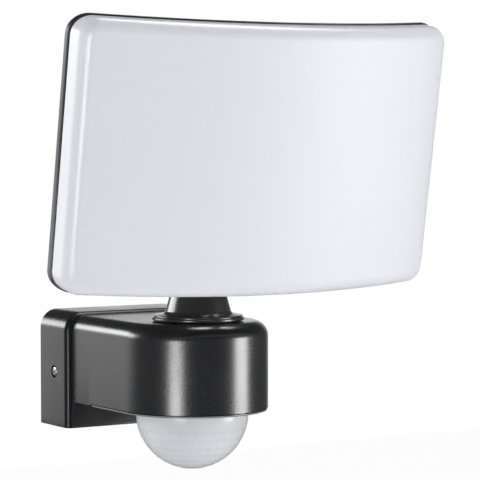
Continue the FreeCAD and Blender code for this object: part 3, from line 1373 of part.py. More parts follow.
def hinge_parts():
    """The bolt through the ears and the knuckle, its nut and the two friction washers."""
    outer = "(knuckle_width / 2 + washer_thick + ear_thick)"
    head = rod("bolt_head", (f"-{outer}", "0", "0"), "-x", "bolt_head_radius", "bolt_head_height")
    shank = rod("bolt_shank", (f"-{outer} - 0.1", "0", "0"), "x", "bolt_radius", f"2 * {outer} + 2.6")
    socket = doc.addObject("Part::Prism", "bolt_socket")
    socket.Polygon = 6
    bind(socket, "Circumradius", "bolt_radius * 0.95")
    bind(socket, "Height", "bolt_head_height")
    put(socket, (f"-{outer} - bolt_head_height * 0.35", "0", "0"), "-x")
    piece("hinge_bolt", cut("hinge_bolt_solid", fuse("hinge_bolt_sum", head, shank), socket), in_head=True)
    nut = doc.addObject("Part::Prism", "hinge_nut_block")
    nut.Polygon = 6
    bind(nut, "Circumradius", "nut_radius")
    bind(nut, "Height", "nut_height")
    put(nut, (f"{outer} - 2", "0", "0"), "x")
    bore = rod("hinge_nut_bore", (f"{outer} - 3", "0", "0"), "x", "bolt_radius + running_gap", "nut_height + 2")
    piece("hinge_nut", cut("hinge_nut_solid", nut, bore), in_head=True)
    washers = []
    for side in (-1, 1):
        label = "left" if side < 0 else "right"
        start = "-knuckle_width / 2 - washer_thick" if side < 0 else "knuckle_width / 2"
        disc = rod(f"{label}_washer_disc", (start, "0", "0"), "x", "washer_radius", "washer_thick")
        hole = rod(f"{label}_washer_hole", (f"{start} - 1", "0", "0"), "x", "bolt_radius + running_gap",
                   "washer_thick + 2")
        washers.append(cut(f"{label}_washer", disc, hole))
    piece("hinge_washers", group("hinge_washer_pair", *washers), in_head=True)


arm_housing()
side_screws()
wall_plate()
cable_grommet()
terminals()
underside_cover()
cover_screws()
sensor_dome()
lens_ring()
board_screw, screw_seats = sensor_electronics()
dials()
screw_seats += power_board()
board_copies = [copy_of(board_screw, f"board_screw_{i}", (x, y, z), along)
                for i, (x, y, z, along) in enumerate(screw_seats)]
piece("board_screws", group("board_screw_set", *board_copies))
neck()
back_housing()
diffuser()
panel_seal()
light_source()
panel_screws()
driver_box()
hinge_bracket()
driver_parts()
hinge_parts()

doc.recompute()
for thing in doc.Objects:
    if "Invalid" in thing.State or "Error" in thing.State:
        raise RuntimeError(f"{thing.Label} failed: {thing.State}")
for thing in pieces:
    if thing.Shape.isNull() or not thing.Shape.isValid():
        raise RuntimeError(f"{thing.Label} has no valid shape")

os.makedirs("parts", exist_ok=True)
for thing in pieces:
    thing.Shape.exportStep(os.path.join("parts", thing.Label + ".step"))
    print(thing.Label, len(thing.Shape.Solids), round(thing.Shape.Volume, 1))
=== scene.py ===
"""Motion sensor floodlight for a wall: a wall box with an arm and a lens dome, a turning neck and a curved light panel.

Pieces are drawn in millimetres about the middle of the wall box, on the wall: +X to the right, -Y away from the wall,
+Z up. Pieces of the light panel are drawn about the hinge behind it and then leant forward as the panel is at rest.
"""

import math

import bpy
import numpy as np
from mathutils import Matrix, Vector


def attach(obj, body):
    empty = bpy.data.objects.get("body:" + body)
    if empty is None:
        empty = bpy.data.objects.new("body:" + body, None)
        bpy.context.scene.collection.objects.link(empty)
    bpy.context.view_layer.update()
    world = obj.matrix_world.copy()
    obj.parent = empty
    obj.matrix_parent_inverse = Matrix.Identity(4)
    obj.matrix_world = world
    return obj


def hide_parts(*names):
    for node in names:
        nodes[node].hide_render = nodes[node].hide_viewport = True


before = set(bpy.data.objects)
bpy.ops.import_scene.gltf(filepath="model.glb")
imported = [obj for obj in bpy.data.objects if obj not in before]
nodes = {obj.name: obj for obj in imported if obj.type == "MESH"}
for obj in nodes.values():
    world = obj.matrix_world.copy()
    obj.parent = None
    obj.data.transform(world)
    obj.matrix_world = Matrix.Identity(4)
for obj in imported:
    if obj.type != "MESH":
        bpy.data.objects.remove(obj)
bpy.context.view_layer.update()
MM = 0.001

# ---------------------------------------------------------------------------------------------------------------
# Wall plate. A moulded black plate inside the back of the wall box, with two slots for wall screws and a hole for
# the supply cable. It is injection moulded with a fine spark-eroded grain.


def add_group(name, sockets_in, sockets_out):
    """An empty shader node group with named inputs (name, kind, default) and outputs (name, kind)."""
    group = bpy.data.node_groups.new(name, "ShaderNodeTree")
    for title, kind, value in sockets_in:
        socket = group.interface.new_socket(name=title, in_out="INPUT", socket_type="NodeSocket" + kind)
        if value is not None:
            socket.default_value = value
    for title, kind in sockets_out:
        group.interface.new_socket(name=title, in_out="OUTPUT", socket_type="NodeSocket" + kind)
    return group, group.nodes.new("NodeGroupInput"), group.nodes.new("NodeGroupOutput")


def add_node(tree, kind, links=(), **settings):
    """A node with its settings, and its inputs set to values or linked from other nodes' outputs."""
    node = tree.nodes.new("ShaderNode" + kind)
    for key, value in settings.items():
        setattr(node, key, value)
    for socket, source in dict(links).items():
        if isinstance(source, bpy.types.NodeSocket):
            tree.links.new(source, node.inputs[socket])
        else:
            node.inputs[socket].default_value = source
    return node


def calc(tree, operation, *values):
    """The result of a maths node whose values are numbers or other nodes' outputs."""
    return add_node(tree, "Math", enumerate(values), operation=operation).outputs[0]


def scaled(tree, vector, factor):
    """A vector or colour times a number."""
    return add_node(tree, "VectorMath", {0: vector, "Scale": factor}, operation="SCALE").outputs[0]


def grain_group():
    """Moulded or coated grain: a fine noise raises the surface, and a broad one shifts its colour and its gloss."""
    group, inside, outside = add_group(
        "surface grain",
        [("Vector", "Vector", None), ("Colour", "Color", (0.5, 0.5, 0.5, 1)), ("Shade", "Float", 0.08),
         ("Grain per metre", "Float", 1200.0), ("Grain depth", "Float", 0.00002), ("Roughness", "Float", 0.4),
         ("Gloss shift", "Float", 0.06)],
        [("Colour", "Color"), ("Roughness", "Float"), ("Normal", "Vector")],
    )
    put = inside.outputs
    fine = add_node(group, "TexNoise", {"Vector": put["Vector"], "Scale": put["Grain per metre"], "Detail": 3.0,
                                        "Roughness": 0.6})
    broad = add_node(group, "TexNoise", {"Vector": put["Vector"], "Scale": 38.0, "Detail": 4.0, "Roughness": 0.55})
    shift = calc(group, "ADD", calc(group, "ADD", fine.outputs["Fac"], broad.outputs["Fac"]), -1.0)
    gain = calc(group, "MULTIPLY_ADD", shift, put["Shade"], 1.0)
    rough = calc(group, "MULTIPLY_ADD", shift, put["Gloss shift"], put["Roughness"])
    bump = add_node(group, "Bump", {"Height": fine.outputs["Fac"], "Distance": put["Grain depth"]})
    group.links.new(scaled(group, put["Colour"], gain), outside.inputs["Colour"])
    group.links.new(rough, outside.inputs["Roughness"])
    group.links.new(bump.outputs["Normal"], outside.inputs["Normal"])
    return group


GRAIN = grain_group()


def new_material(name, **fixed):
    """A material with one Principled shader, whose fixed numbers are set on the shader's own sockets."""
    material = bpy.data.materials.new(name)
    material.use_nodes = True
    tree = material.node_tree
    tree.nodes.clear()
    shader = add_node(tree, "BsdfPrincipled", {key.replace("_", " "): value for key, value in fixed.items()})
    output = tree.nodes.new("ShaderNodeOutputMaterial")
    tree.links.new(shader.outputs["BSDF"], output.inputs["Surface"])
    place = tree.nodes.new("ShaderNodeTexCoord")
    return material, tree, shader, place.outputs["Object"]


def grained(name, colour, roughness, grain=1.0, depth=0.02, shade=0.08, gloss_shift=0.06, **fixed):
    """A grained material. Grain is the size of its bumps and depth their height, both in millimetres."""
    material, tree, shader, place = new_material(name, **fixed)
    add_grain(tree, shader, place, (*colour, 1.0), roughness, grain, depth, shade, gloss_shift)
    return material


def add_grain(tree, shader, place, colour, roughness, grain, depth, shade, gloss_shift=0.06):
    """Puts the grain group before a shader. Colour and roughness may be numbers or outputs of other nodes."""
    node = tree.nodes.new("ShaderNodeGroup")
    node.node_tree = GRAIN
    given = {"Vector": place, "Colour": colour, "Shade": shade, "Grain per metre": 1 / (grain * MM),
             "Grain depth": depth * MM, "Roughness": roughness, "Gloss shift": gloss_shift}
    for title, value in given.items():
        if isinstance(value, bpy.types.NodeSocket):
            tree.links.new(value, node.inputs[title])
        else:
            node.inputs[title].default_value = value
    tree.links.new(node.outputs["Colour"], shader.inputs["Base Color"])
    tree.links.new(node.outputs["Roughness"], shader.inputs["Roughness"])
    tree.links.new(node.outputs["Normal"], shader.inputs["Normal"])


def dress(material, *names):
    """Gives CAD nodes their material."""
    for name in names:
        mesh = nodes[name].data
        mesh.materials.clear()
        mesh.materials.append(material)


plate_black = grained("wall plate plastic", (0.018, 0.018, 0.020), 0.55, grain=0.7, depth=0.02)
dress(plate_black, "wall_plate")

# Cable grommet. A soft black rubber plug in the plate's cable hole, lightly dusty from its mould.

rubber_black = grained("grommet rubber", (0.014, 0.014, 0.015), 0.72, grain=1.4, depth=0.03, shade=0.25)
dress(rubber_black, "cable_grommet")

# Terminal block and its screws. Ivory moulded plastic with three plated brass clamping screws.

dress(grained("terminal plastic", (0.72, 0.68, 0.58), 0.42, grain=0.6, depth=0.01), "terminal_block")


def add_ramp(tree, value, start, end, low=0.0, high=1.0):
    """A number that goes from low to high while the value goes from start to end, and stays there beyond."""
    return add_node(tree, "MapRange", {"Value": value, "From Min": start, "From Max": end, "To Min": low,
                                       "To Max": high}).outputs[0]


def turned_metal(name, colour, roughness, lines=2600.0, depth=0.004):
    """Turned or drawn metal: fine wavy lines around and along the piece shift its gloss and its height."""
    material, tree, shader, place = new_material(name, Metallic=1.0)
    wave = add_node(tree, "TexNoise", {"Vector": place, "Scale": lines, "Detail": 2.0, "Roughness": 0.7})
    stain = add_node(tree, "TexNoise", {"Vector": place, "Scale": 160.0, "Detail": 3.0})
    rough = add_ramp(tree, wave.outputs["Fac"], 0.0, 1.0, roughness * 0.7, roughness * 1.3)
    tone = add_ramp(tree, stain.outputs["Fac"], 0.0, 1.0, 0.88, 1.08)
    bump = add_node(tree, "Bump", {"Height": wave.outputs["Fac"], "Distance": depth * MM})
    tree.links.new(scaled(tree, colour, tone), shader.inputs["Base Color"])
    tree.links.new(rough, shader.inputs["Roughness"])
    tree.links.new(bump.outputs["Normal"], shader.inputs["Normal"])
    return material


dress(turned_metal("terminal brass", (0.80, 0.62, 0.30), 0.3), "terminal_screws")

# ---------------------------------------------------------------------------------------------------------------
# Arm housing. One anthracite moulding: the wall box, the arm with its half-round drum, and the slanting foot below
# the arm. It is open at the back for the wall plate and below for the sensor, with a neck hole in its roof.

BOX_HALF, BOX_RISE, BOX_DEPTH, BOX_CORNER, BOX_EDGE = 48.5, 35.0, 34.5, 11.0, 3.6
ARM_HALF, ARM_ROOF, ARM_FOOT, ARM_EDGE = 44.8, 33.2, -19.2, 9.0
DRUM_Y, NECK_Y = -100.7, -107.8
WALL = 3.0
SKIRT_Y, SKIRT_Z = -58.0, -18.0


def bend(steps):
    """Cosines and sines of a quarter turn, from 0 to a right angle."""
    turn = np.linspace(0, math.pi / 2, steps)
    return np.cos(turn), np.sin(turn)


def circle(count):
    """Cosines and sines of even steps once around."""
    turn = np.linspace(0, 2 * math.pi, count, endpoint=False)
    return np.cos(turn), np.sin(turn)


def round_end(edge, end, steps, way=1):
    """Insets and places of the rings that draw a solid in along a quarter circle, the last one at its end."""
    if not edge:
        return [(0, end)]
    return [(edge * (1 - c), end - way * edge * (1 - s)) for c, s in zip(*bend(steps))]


def add_object(name, data):
    """A new object of the scene around its mesh, lamp or camera."""
    item = bpy.data.objects.new(name, data)
    bpy.context.scene.collection.objects.link(item)
    return item


def skin(name, rings):
    """A closed skin over a stack of closed rings of points (rings, points, 3), in millimetres: four-sided faces
    between neighbouring rings and one face over each end, all turned outwards by the sign of the whole volume."""
    rings = np.asarray(rings, float)
    count, around = rings.shape[:2]
    points = rings.reshape(-1, 3)
    index = np.arange(count * around).reshape(count, around)
    ahead = np.roll(index, -1, axis=1)
    quads = np.stack([index[:-1], ahead[:-1], ahead[1:], index[1:]], axis=-1).reshape(-1, 4)
    caps = np.stack([index[0, ::-1], index[-1]])
    corners = points[quads]
    middle = points.mean(axis=0)

    def volume_below(a, b, c):
        return np.einsum("ij,ij->i", a - middle, np.cross(b - middle, c - middle)).sum()

    volume = volume_below(corners[:, 0], corners[:, 1], corners[:, 2])
    volume += volume_below(corners[:, 0], corners[:, 2], corners[:, 3])
    for cap in caps:
        fan = points[cap]
        volume += volume_below(np.repeat(fan[:1], around - 2, axis=0), fan[1:-1], fan[2:])
    if volume < 0:
        quads, caps = quads[:, ::-1], caps[:, ::-1]
    mesh = bpy.data.meshes.new(name)
    mesh.from_pydata((points * MM).tolist(), [], quads.tolist() + caps.tolist())
    return add_object(name, mesh)


def plan_ring(half, back, z):
    """The arm from above at one height: straight down one side, half a circle about the drum's axis, straight back
    up the other side, and across the back."""
    along = 14
    side = np.linspace(back, DRUM_Y, along, endpoint=False)
    turn = np.linspace(math.pi, 2 * math.pi, 96)
    across = np.linspace(half, -half, along, endpoint=False)[1:]
    x = np.concatenate([np.full(along, -half), half * np.cos(turn), np.full(along, half), across])
    y = np.concatenate([side, DRUM_Y + half * np.sin(turn), side[::-1], np.full(along - 1, back)])
    return np.stack([x, y, np.full_like(x, z)], axis=-1)


def arm_block(name, half, back, foot, roof, edge, foot_edge=0.0):
    """The arm as a solid: its plan ring carried upwards, drawn in along a quarter circle at the roof and the foot."""
    rows = round_end(foot_edge, foot, 10, -1)[::-1] + round_end(edge, roof, 10)
    return skin(name, [plan_ring(half - inset, back, z) for inset, z in rows])


def outline(left, right, low, high, top, foot, per_corner=14, per_side=14):
    """A rectangle with round corners as points and outward directions: quarter circles of the top and foot radii
    joined by evenly divided straight sides."""
    spots, outward = [], []
    for x, z, radius, start in ((right, low, foot, -90), (right, high, top, 0), (left, high, top, 90),
                                (left, low, foot, 180)):
        turn = np.radians(np.linspace(start, start + 90, per_corner))
        way = np.stack([np.cos(turn), np.sin(turn)], axis=-1)
        centre = np.array([x - math.copysign(radius, x - (left + right) / 2),
                           z - math.copysign(radius, z - (low + high) / 2)])
        spots.append(centre + radius * way)
        outward.append(way)
    points, ways = [], []
    for i in range(4):
        following = spots[(i + 1) % 4][0]
        share = np.linspace(0, 1, per_side + 1)[1:-1, None]
        points += [spots[i], spots[i][-1] * (1 - share) + following * share]
        ways += [outward[i], np.repeat(outward[i][-1:], per_side - 1, axis=0)]
    return np.concatenate(points), np.concatenate(ways)


def faced(flat, y):
    """Points of an X-Z outline set at a depth."""
    return np.stack([flat[:, 0], np.full(len(flat), y), flat[:, 1]], axis=-1)


def box_block(name, inset, low, back, front, edge):
    """The wall box as a solid: its face outline carried forward, drawn in along a quarter circle at the front edge."""
    rings = []
    for more, y in [(0, back)] + round_end(edge, front, 9, -1):
        side = BOX_HALF - inset - more
        rings.append(faced(outline(-side, side, low, BOX_RISE - inset - more, BOX_CORNER - inset - more, 0.6)[0], y))
    return skin(name, rings)


def prism(name, flat, low, high, edge=0.0, axis=0):
    """A flat convex outline carried along an axis, its two ends drawn in along a quarter circle of the edge radius.
    Each ring is the outline shrunk towards its middle by the same distance on every side."""
    flat = np.asarray(flat, float)
    ahead = np.roll(flat, -1, axis=0) - flat
    behind = flat - np.roll(flat, 1, axis=0)
    area = (flat[:, 0] * np.roll(flat[:, 1], -1) - flat[:, 1] * np.roll(flat[:, 0], -1)).sum()
    turn = 1 if area > 0 else -1

    def inward(way):
        way = way / np.linalg.norm(way, axis=1, keepdims=True)
        return turn * np.stack([-way[:, 1], way[:, 0]], axis=-1)

    a, b = inward(ahead), inward(behind)
    draw = (a + b) / (1 + (a * b).sum(axis=1, keepdims=True))
    rows = round_end(edge, low, 6, -1)[::-1] + round_end(edge, high, 6)
    return skin(name, [np.insert(flat + draw * inset, axis, place, axis=1) for inset, place in rows])


def disc(name, radius, low, high, at=(0, 0), axis=2, count=72, edge=0.0):
    """A round bar along an axis, with its ends drawn in along a quarter circle of the edge radius."""
    cos, sin = circle(count)
    flat = np.stack([at[0] + radius * cos, at[1] + radius * sin], axis=-1)
    return prism(name, flat, low, high, edge, axis)


def carve(name, base, steps):
    """Joins solids to a base or takes them from it, one after the other, by exact mesh booleans."""
    for operation, tool in steps:
        cutter = base.modifiers.new(operation, "BOOLEAN")
        cutter.solver = "EXACT"
        cutter.operation = operation
        cutter.object = tool
    graph = bpy.context.evaluated_depsgraph_get()
    mesh = bpy.data.meshes.new_from_object(base.evaluated_get(graph))
    for item in [base] + [tool for _, tool in steps]:
        old = item.data
        bpy.data.objects.remove(item)
        bpy.data.meshes.remove(old)
    return add_object(name, mesh)


def settle(item, name, material, body, slot, *stands_for, crease=32):
    """Finishes a piece: smooth faces with sharp creases, its material, the body it moves with and what it replaces."""
    item.name = name
    mesh = item.data
    mesh.name = name
    mesh.shade_smooth()
    mesh.set_sharp_from_angle(angle=math.radians(crease))
    mesh.materials.clear()
    mesh.materials.append(material)
    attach(item, body)
    if stands_for:
        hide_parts(*stands_for)
    return item


JOIN, TAKE = "UNION", "DIFFERENCE"
DIAL_X, DIAL_Y = (-18.0, 0.0, 18.0), -48.0
SIDE_SCREW_Y, SIDE_SCREW_Z = -17.8, -1.8
SCREW_SINK = 1.6
FOOT_TOP, FOOT_LOW, FOOT_BACK = -12, -35, -17
FOOT_FRONT_TOP, FOOT_FRONT_LOW = -37.6 - (37.6 - 33.5) / (35.0 - 19.2) * 7.2, -33.5

foot_block = prism("foot_block", [(FOOT_BACK, FOOT_TOP), (FOOT_FRONT_TOP, FOOT_TOP), (FOOT_FRONT_LOW, FOOT_LOW),
                                  (FOOT_BACK, FOOT_LOW)], -ARM_HALF, ARM_HALF, 0.6)
steps = [
    (JOIN, foot_block),
    (JOIN, arm_block("arm_block", ARM_HALF, -18.0, ARM_FOOT, ARM_ROOF, ARM_EDGE, 0.35)),
    (TAKE, box_block("box_room", WALL, -BOX_RISE + WALL, 1.0, -BOX_DEPTH + WALL, 0)),
    (TAKE, arm_block("arm_room", ARM_HALF - WALL, -20.0, ARM_FOOT + WALL, ARM_ROOF - WALL, ARM_EDGE - WALL)),
    (TAKE, arm_block("sensor_mouth", ARM_HALF - WALL - 0.01, SKIRT_Y - WALL, ARM_FOOT - 2, -5.0, 0)),
    (TAKE, arm_block("skirt_room", ARM_HALF + 1, SKIRT_Y, ARM_FOOT - 2, SKIRT_Z, 0)),
    (TAKE, disc("neck_hole", 14.05, 20, ARM_ROOF + 2, (0, NECK_Y))),
]
for side in (-1, 1):
    face = side * BOX_HALF
    reach = sorted((face + side, face - side * SCREW_SINK))
    through = sorted((face + side, face - side * 5))
    steps.append((TAKE, disc("screw_sink", 3.8, *reach, (SIDE_SCREW_Y, SIDE_SCREW_Z), axis=0)))
    steps.append((TAKE, disc("screw_way", 1.75, *through, (SIDE_SCREW_Y, SIDE_SCREW_Z), axis=0, count=32)))
for x in DIAL_X:
    steps.append((TAKE, disc("dial_well", 4.8, ARM_FOOT - 2, ARM_FOOT + WALL + 2, (x, DIAL_Y))))
arm_housing = carve("arm_housing_skin", box_block("box_block", 0, -BOX_RISE, 0, -BOX_DEPTH, BOX_EDGE), steps)


def apart(tree, place):
    """A place as three numbers: its distance from the middle plane, its depth and its height."""
    split = add_node(tree, "SeparateXYZ", {0: place}).outputs
    return calc(tree, "ABSOLUTE", split["X"]), split["Y"], split["Z"]


def housing_plastic():
    """Grained anthracite, matt along the wall box's front edge and a little less glossy on its upper shoulders."""
    material, tree, shader, place = new_material("anthracite plastic")
    add_grain(tree, shader, place, (0.0125, 0.013, 0.0145, 1), 0.26, 0.8, 0.010, 0.20, 0.12)
    aside, depth, height = apart(tree, place)
    wide = add_ramp(tree, aside, 0.0446, 0.0450)
    outside = calc(tree, "MAXIMUM", wide, add_ramp(tree, height, 0.0335, 0.0340))
    front = add_ramp(tree, depth, -0.0300, -0.0318)
    before_arm = add_ramp(tree, depth, -0.03455, -0.0346, 1.0, 0.0)
    edge = calc(tree, "MULTIPLY", calc(tree, "MULTIPLY", outside, front), before_arm)
    shoulder = calc(tree, "MULTIPLY", wide, add_ramp(tree, height, 0.022, 0.028))
    matt = calc(tree, "MAXIMUM", edge, calc(tree, "MULTIPLY", shoulder, 0.4))
    tree.links.new(add_ramp(tree, matt, 0.0, 1.0, 1.0, 0.25), shader.inputs["Specular IOR Level"])
    return material


anthracite = housing_plastic()
settle(arm_housing, "arm_housing_skin", anthracite, "base", "housing_plastic", "arm_housing")

# Side screws. Two stainless pan-head screws with a cross recess hold the housing to the wall plate's lugs.


def cross_head(radius, height, shank, length):
    """A pan-head screw standing on its seat at 0: a point, a shank, the underside, a rounded rim and a domed top.
    The top is a height over radius and angle, lowered where a cross with soft sides is pressed in."""
    rows = [(0.02, -length), (shank * 0.5, -length + shank * 0.6), (shank, -length + shank * 1.4), (shank, 0.0),
            (radius * 0.98, 0.0), (radius, 0.12 * height)]
    rows += [(radius * 0.84 + radius * 0.16 * c, 0.45 * height + 0.4 * height * s) for c, s in zip(*bend(7))]
    cos, sin = circle(64)
    outer = np.array([[r * cos, r * sin, np.full(64, z)] for r, z in rows]).transpose(0, 2, 1)
    radii = np.linspace(radius * 0.82, 0.03, 22)[:, None]
    x, y = radii * cos, radii * sin
    dome = height * (0.85 + 0.15 * (1 - (radii / (radius * 0.84)) ** 2))
    wing = np.minimum(np.abs(x), np.abs(y))
    arm_length = np.maximum(np.abs(x), np.abs(y))
    pressed = np.clip((radius * 0.18 - wing) / (radius * 0.06), 0, 1)
    pressed = pressed * np.clip((radius * 0.62 - arm_length) / (radius * 0.14), 0, 1)
    top = np.stack([x, y, dome - 0.62 * height * pressed], axis=-1)
    return np.concatenate([outer, top])


def aimed(rings, at, way, spin=0.0):
    """Turns rings drawn along +Z so that they point along a direction, and moves them to a place."""
    turn = Vector(way).to_track_quat("Z", "Y").to_matrix() @ Matrix.Rotation(math.radians(spin), 3, "Z")
    return np.asarray(rings) @ np.array(turn).T + np.asarray(at, float)


def spots_of(mesh):
    """The places of a mesh's corners, in metres."""
    spots = np.empty(len(mesh.vertices) * 3)
    mesh.vertices.foreach_get("co", spots)
    return spots.reshape(-1, 3)


def join_all(name, items):
    """One mesh object from several, which stay apart inside it."""
    points, faces, start = [], [], 0
    for item in items:
        mesh = item.data
        points.append(spots_of(mesh))
        faces += [[start + corner for corner in face.vertices] for face in mesh.polygons]
        start += len(mesh.vertices)
        bpy.data.objects.remove(item)
        bpy.data.meshes.remove(mesh)
    mesh = bpy.data.meshes.new(name)
    mesh.from_pydata(np.concatenate(points).tolist(), [], faces)
    return add_object(name, mesh)


def add_screws(stands_for, ending, material, body, slot, sizes, placed):
    """The screws of one node: radius and height of the head, radius and length of the shank, and for each screw its
    seat, the way it points and its turn in degrees."""
    heads = [skin("screw", aimed(cross_head(*sizes), seat, way, spin)) for seat, way, spin in placed]
    name = stands_for + ending
    settle(join_all(name, heads), name, material, body, slot, stands_for)


stainless = turned_metal("stainless steel", (0.74, 0.74, 0.75), 0.24)
add_screws("side_screws", "_pair", stainless, "base", "screw_steel", (2.9, 1.5, 1.45, 8.0),
           [((side * (BOX_HALF - SCREW_SINK), SIDE_SCREW_Y, SIDE_SCREW_Z), (side, 0, 0), 20) for side in (-1, 1)])

# ---------------------------------------------------------------------------------------------------------------
# Underside cover. An anthracite plate let into the arm from below, with a groove where it meets the arm, a round hole
# for the dome and two screws at the back. Its side band is painted paler as a painted reflection of the floor, and its
# groove is painted black as painted shadow.

COVER_HALF, COVER_LOW, COVER_GROOVE = 44.2, -19.6, 0.6
COVER_SCREW_X, COVER_SCREW_Y = (-36.8, 36.8), -65.0
DOME_R = 33.2

rows = [(0.35, COVER_LOW), (0.1, COVER_LOW + 0.1), (0.0, COVER_LOW + 0.35), (0.0, SKIRT_Z - COVER_GROOVE),
        (COVER_GROOVE, SKIRT_Z - COVER_GROOVE), (COVER_GROOVE, SKIRT_Z - 0.02)]
cover = skin("cover", [plan_ring(COVER_HALF - inset, SKIRT_Y - 0.3 - inset, z) for inset, z in rows])
steps = [(TAKE, disc("dome_hole", DOME_R + 0.3, COVER_LOW - 1, SKIRT_Z + 1, (0, DRUM_Y), count=160))]
steps += [(TAKE, disc("cover_hole", 1.7, COVER_LOW - 1, SKIRT_Z + 1, (x, COVER_SCREW_Y), count=32))
          for x in COVER_SCREW_X]


def blend(tree, factor, first, second):
    """A colour that goes from the first to the second while the factor goes from 0 to 1."""
    return add_node(tree, "Mix", {"Factor": factor, 6: first, 7: second}, data_type="RGBA").outputs[2]


def cover_material():
    """The cover's grained plastic. Its side band is painted paler, a painted reflection of the floor, and the groove
    where it is let into the arm is painted matt black, a painted shadow.
    """
    material, tree, shader, place = new_material("cover plastic")
    height = add_node(tree, "SeparateXYZ", {0: place}).outputs["Z"]
    # Painted reflection: above this height the side band takes a paler colour, standing in for the bright floor it
    # reflects.
    rim = add_ramp(tree, height, -0.01945, -0.01940)
    # Painted shadow: above this height the groove is painted black and loses its gloss, standing in for the shade in
    # the gap.
    line = add_ramp(tree, height, -0.01868, -0.01862)
    face = blend(tree, rim, (0.020, 0.021, 0.023, 1), (0.23, 0.235, 0.25, 1))
    add_grain(tree, shader, place, blend(tree, line, face, (0.002, 0.002, 0.002, 1)), 0.22, 0.8, 0.004, 0.15)
    tree.links.new(add_ramp(tree, line, 0.0, 1.0, 1.0, 0.0), shader.inputs["Specular IOR Level"])
    return material


settle(carve("underside_cover_plate", cover, steps), "underside_cover_plate", cover_material(), "base",
       "cover_plastic", "underside_cover")

zinc = turned_metal("zinc plated steel", (0.66, 0.66, 0.63), 0.34)
add_screws("cover_screws", "_pair", zinc, "base", "zinc_steel", (2.8, 1.33, 1.4, 9.0),
           [((x, COVER_SCREW_Y, COVER_LOW), (0, 0, -1), 35) for x in COVER_SCREW_X])

# ---------------------------------------------------------------------------------------------------------------
# Sensor dome. A half ball of milky lens plastic under a smooth collar. Rows of round lens segments are cut flat into
# the ball, each given by its tilt, count, shift and half width in degrees, and flat bands run around below them.

DOME_Z = -21.2
DOME_WALL, FLANGE_WALL, FLANGE_WIDTH = 1.6, 1.6, 2.8
COLLAR_LINE, COLLAR_STEP = -22.6, 0.12
SEGMENT_ROWS = ((20.6, 36, 0.0, 5.9), (29.5, 36, 5.0, 5.7), (38.3, 30, 3.0, 5.8))
BANDS = ((47.5, 4.6), (56.0, 4.6), (64.5, 4.6), (73.5, 4.6), (84.0, 6.2))
SEAM_DEPTH = 0.05

across = 720
azimuth = np.linspace(0, 2 * math.pi, across, endpoint=False)
fall = np.radians(np.concatenate([np.linspace(3.2, 12, 10, endpoint=False), np.linspace(12, 60, 108),
                                  np.linspace(60, 89.6, 32)[1:]]))
way = np.stack([np.cos(fall)[:, None] * np.cos(azimuth), np.cos(fall)[:, None] * np.sin(azimuth),
                -np.sin(fall)[:, None] * np.ones(across)], axis=-1)
reach = np.full(way.shape[:2], DOME_R)
layers = [reach]
for tilt, count, shift, spread in SEGMENT_ROWS:
    tilt, first, spread, pitch = math.radians(tilt), math.radians(shift), math.radians(spread), 2 * math.pi / count
    nearest = first + np.round((azimuth - first) / pitch) * pitch
    towards = np.stack([math.cos(tilt) * np.cos(nearest), math.cos(tilt) * np.sin(nearest),
                        np.full(across, -math.sin(tilt))], axis=-1)
    facing = np.einsum("ijk,jk->ij", way, towards)
    layers.append(DOME_R * math.cos(spread) / np.maximum(facing, 0.2))
for tilt, spread in BANDS:
    gap = np.abs(fall - math.radians(tilt))
    flat = DOME_R * math.cos(math.radians(spread)) / np.cos(np.minimum(gap, 1.2))
    layers.append(np.repeat(flat[:, None], across, axis=1))
layers = np.sort(layers, axis=0)
reach = layers[0]
seam = np.clip(1 - (layers[1] - layers[0]) / SEAM_DEPTH, 0, 1)
ball = way * reach[..., None] + np.array([0, DRUM_Y, DOME_Z])


def hoops(profile, centre, count):
    """Level rings about an upright axis from pairs of radius and height."""
    cos, sin = circle(count)
    profile = np.asarray(profile, float)
    return np.stack([centre[0] + profile[:, :1] * cos, centre[1] + profile[:, :1] * sin,
                     np.repeat(profile[:, 1:], count, axis=1)], axis=-1)


inner_r = DOME_R - DOME_WALL
sweep = np.radians(np.linspace(89.0, 0, 24))
inside = [(inner_r * math.cos(t), DOME_Z - inner_r * math.sin(t)) for t in sweep]
flange_r, flange_top = DOME_R + FLANGE_WIDTH, SKIRT_Z + FLANGE_WALL
inside += [(inner_r, flange_top), (flange_r, flange_top), (flange_r, SKIRT_Z), (DOME_R, SKIRT_Z),
           (DOME_R, COLLAR_LINE + COLLAR_STEP), (DOME_R - COLLAR_STEP, COLLAR_LINE)]
dome = skin("dome", np.concatenate([hoops(inside, (0, DRUM_Y), across), ball]))
# The seam weight drives the lens material's painted shade along the ridges between segments.
marks = dome.data.attributes.new("seam", "FLOAT", "POINT")
marks.data.foreach_set("value", np.concatenate([np.zeros(len(inside) * across), seam.ravel()]))


def milky_lens():
    """Milky lens plastic with a faint ripple, painted a little darker along the seams between the lens segments as
    painted shade.
    """
    material, tree, shader, place = new_material("milky lens plastic", Specular_IOR_Level=0.5)
    # Painted shade: the lens colour darkens where the seam weight is high, along the ridges between segments.
    seams = add_node(tree, "Attribute", attribute_name="seam")
    tint = blend(tree, seams.outputs["Fac"], (0.685, 0.71, 0.735, 1), (0.60, 0.625, 0.655, 1))
    add_grain(tree, shader, place, tint, 0.20, 2.0, 0.004, 0.02, 0.03)
    return material


settle(dome, "sensor_dome_lens", milky_lens(), "base", "dome_plastic", "sensor_dome", crease=12)

# Lens ring, sensor board and heat sensor behind the dome. A black moulded ring clamps the lens and carries the board.

dress(plate_black, "lens_ring")


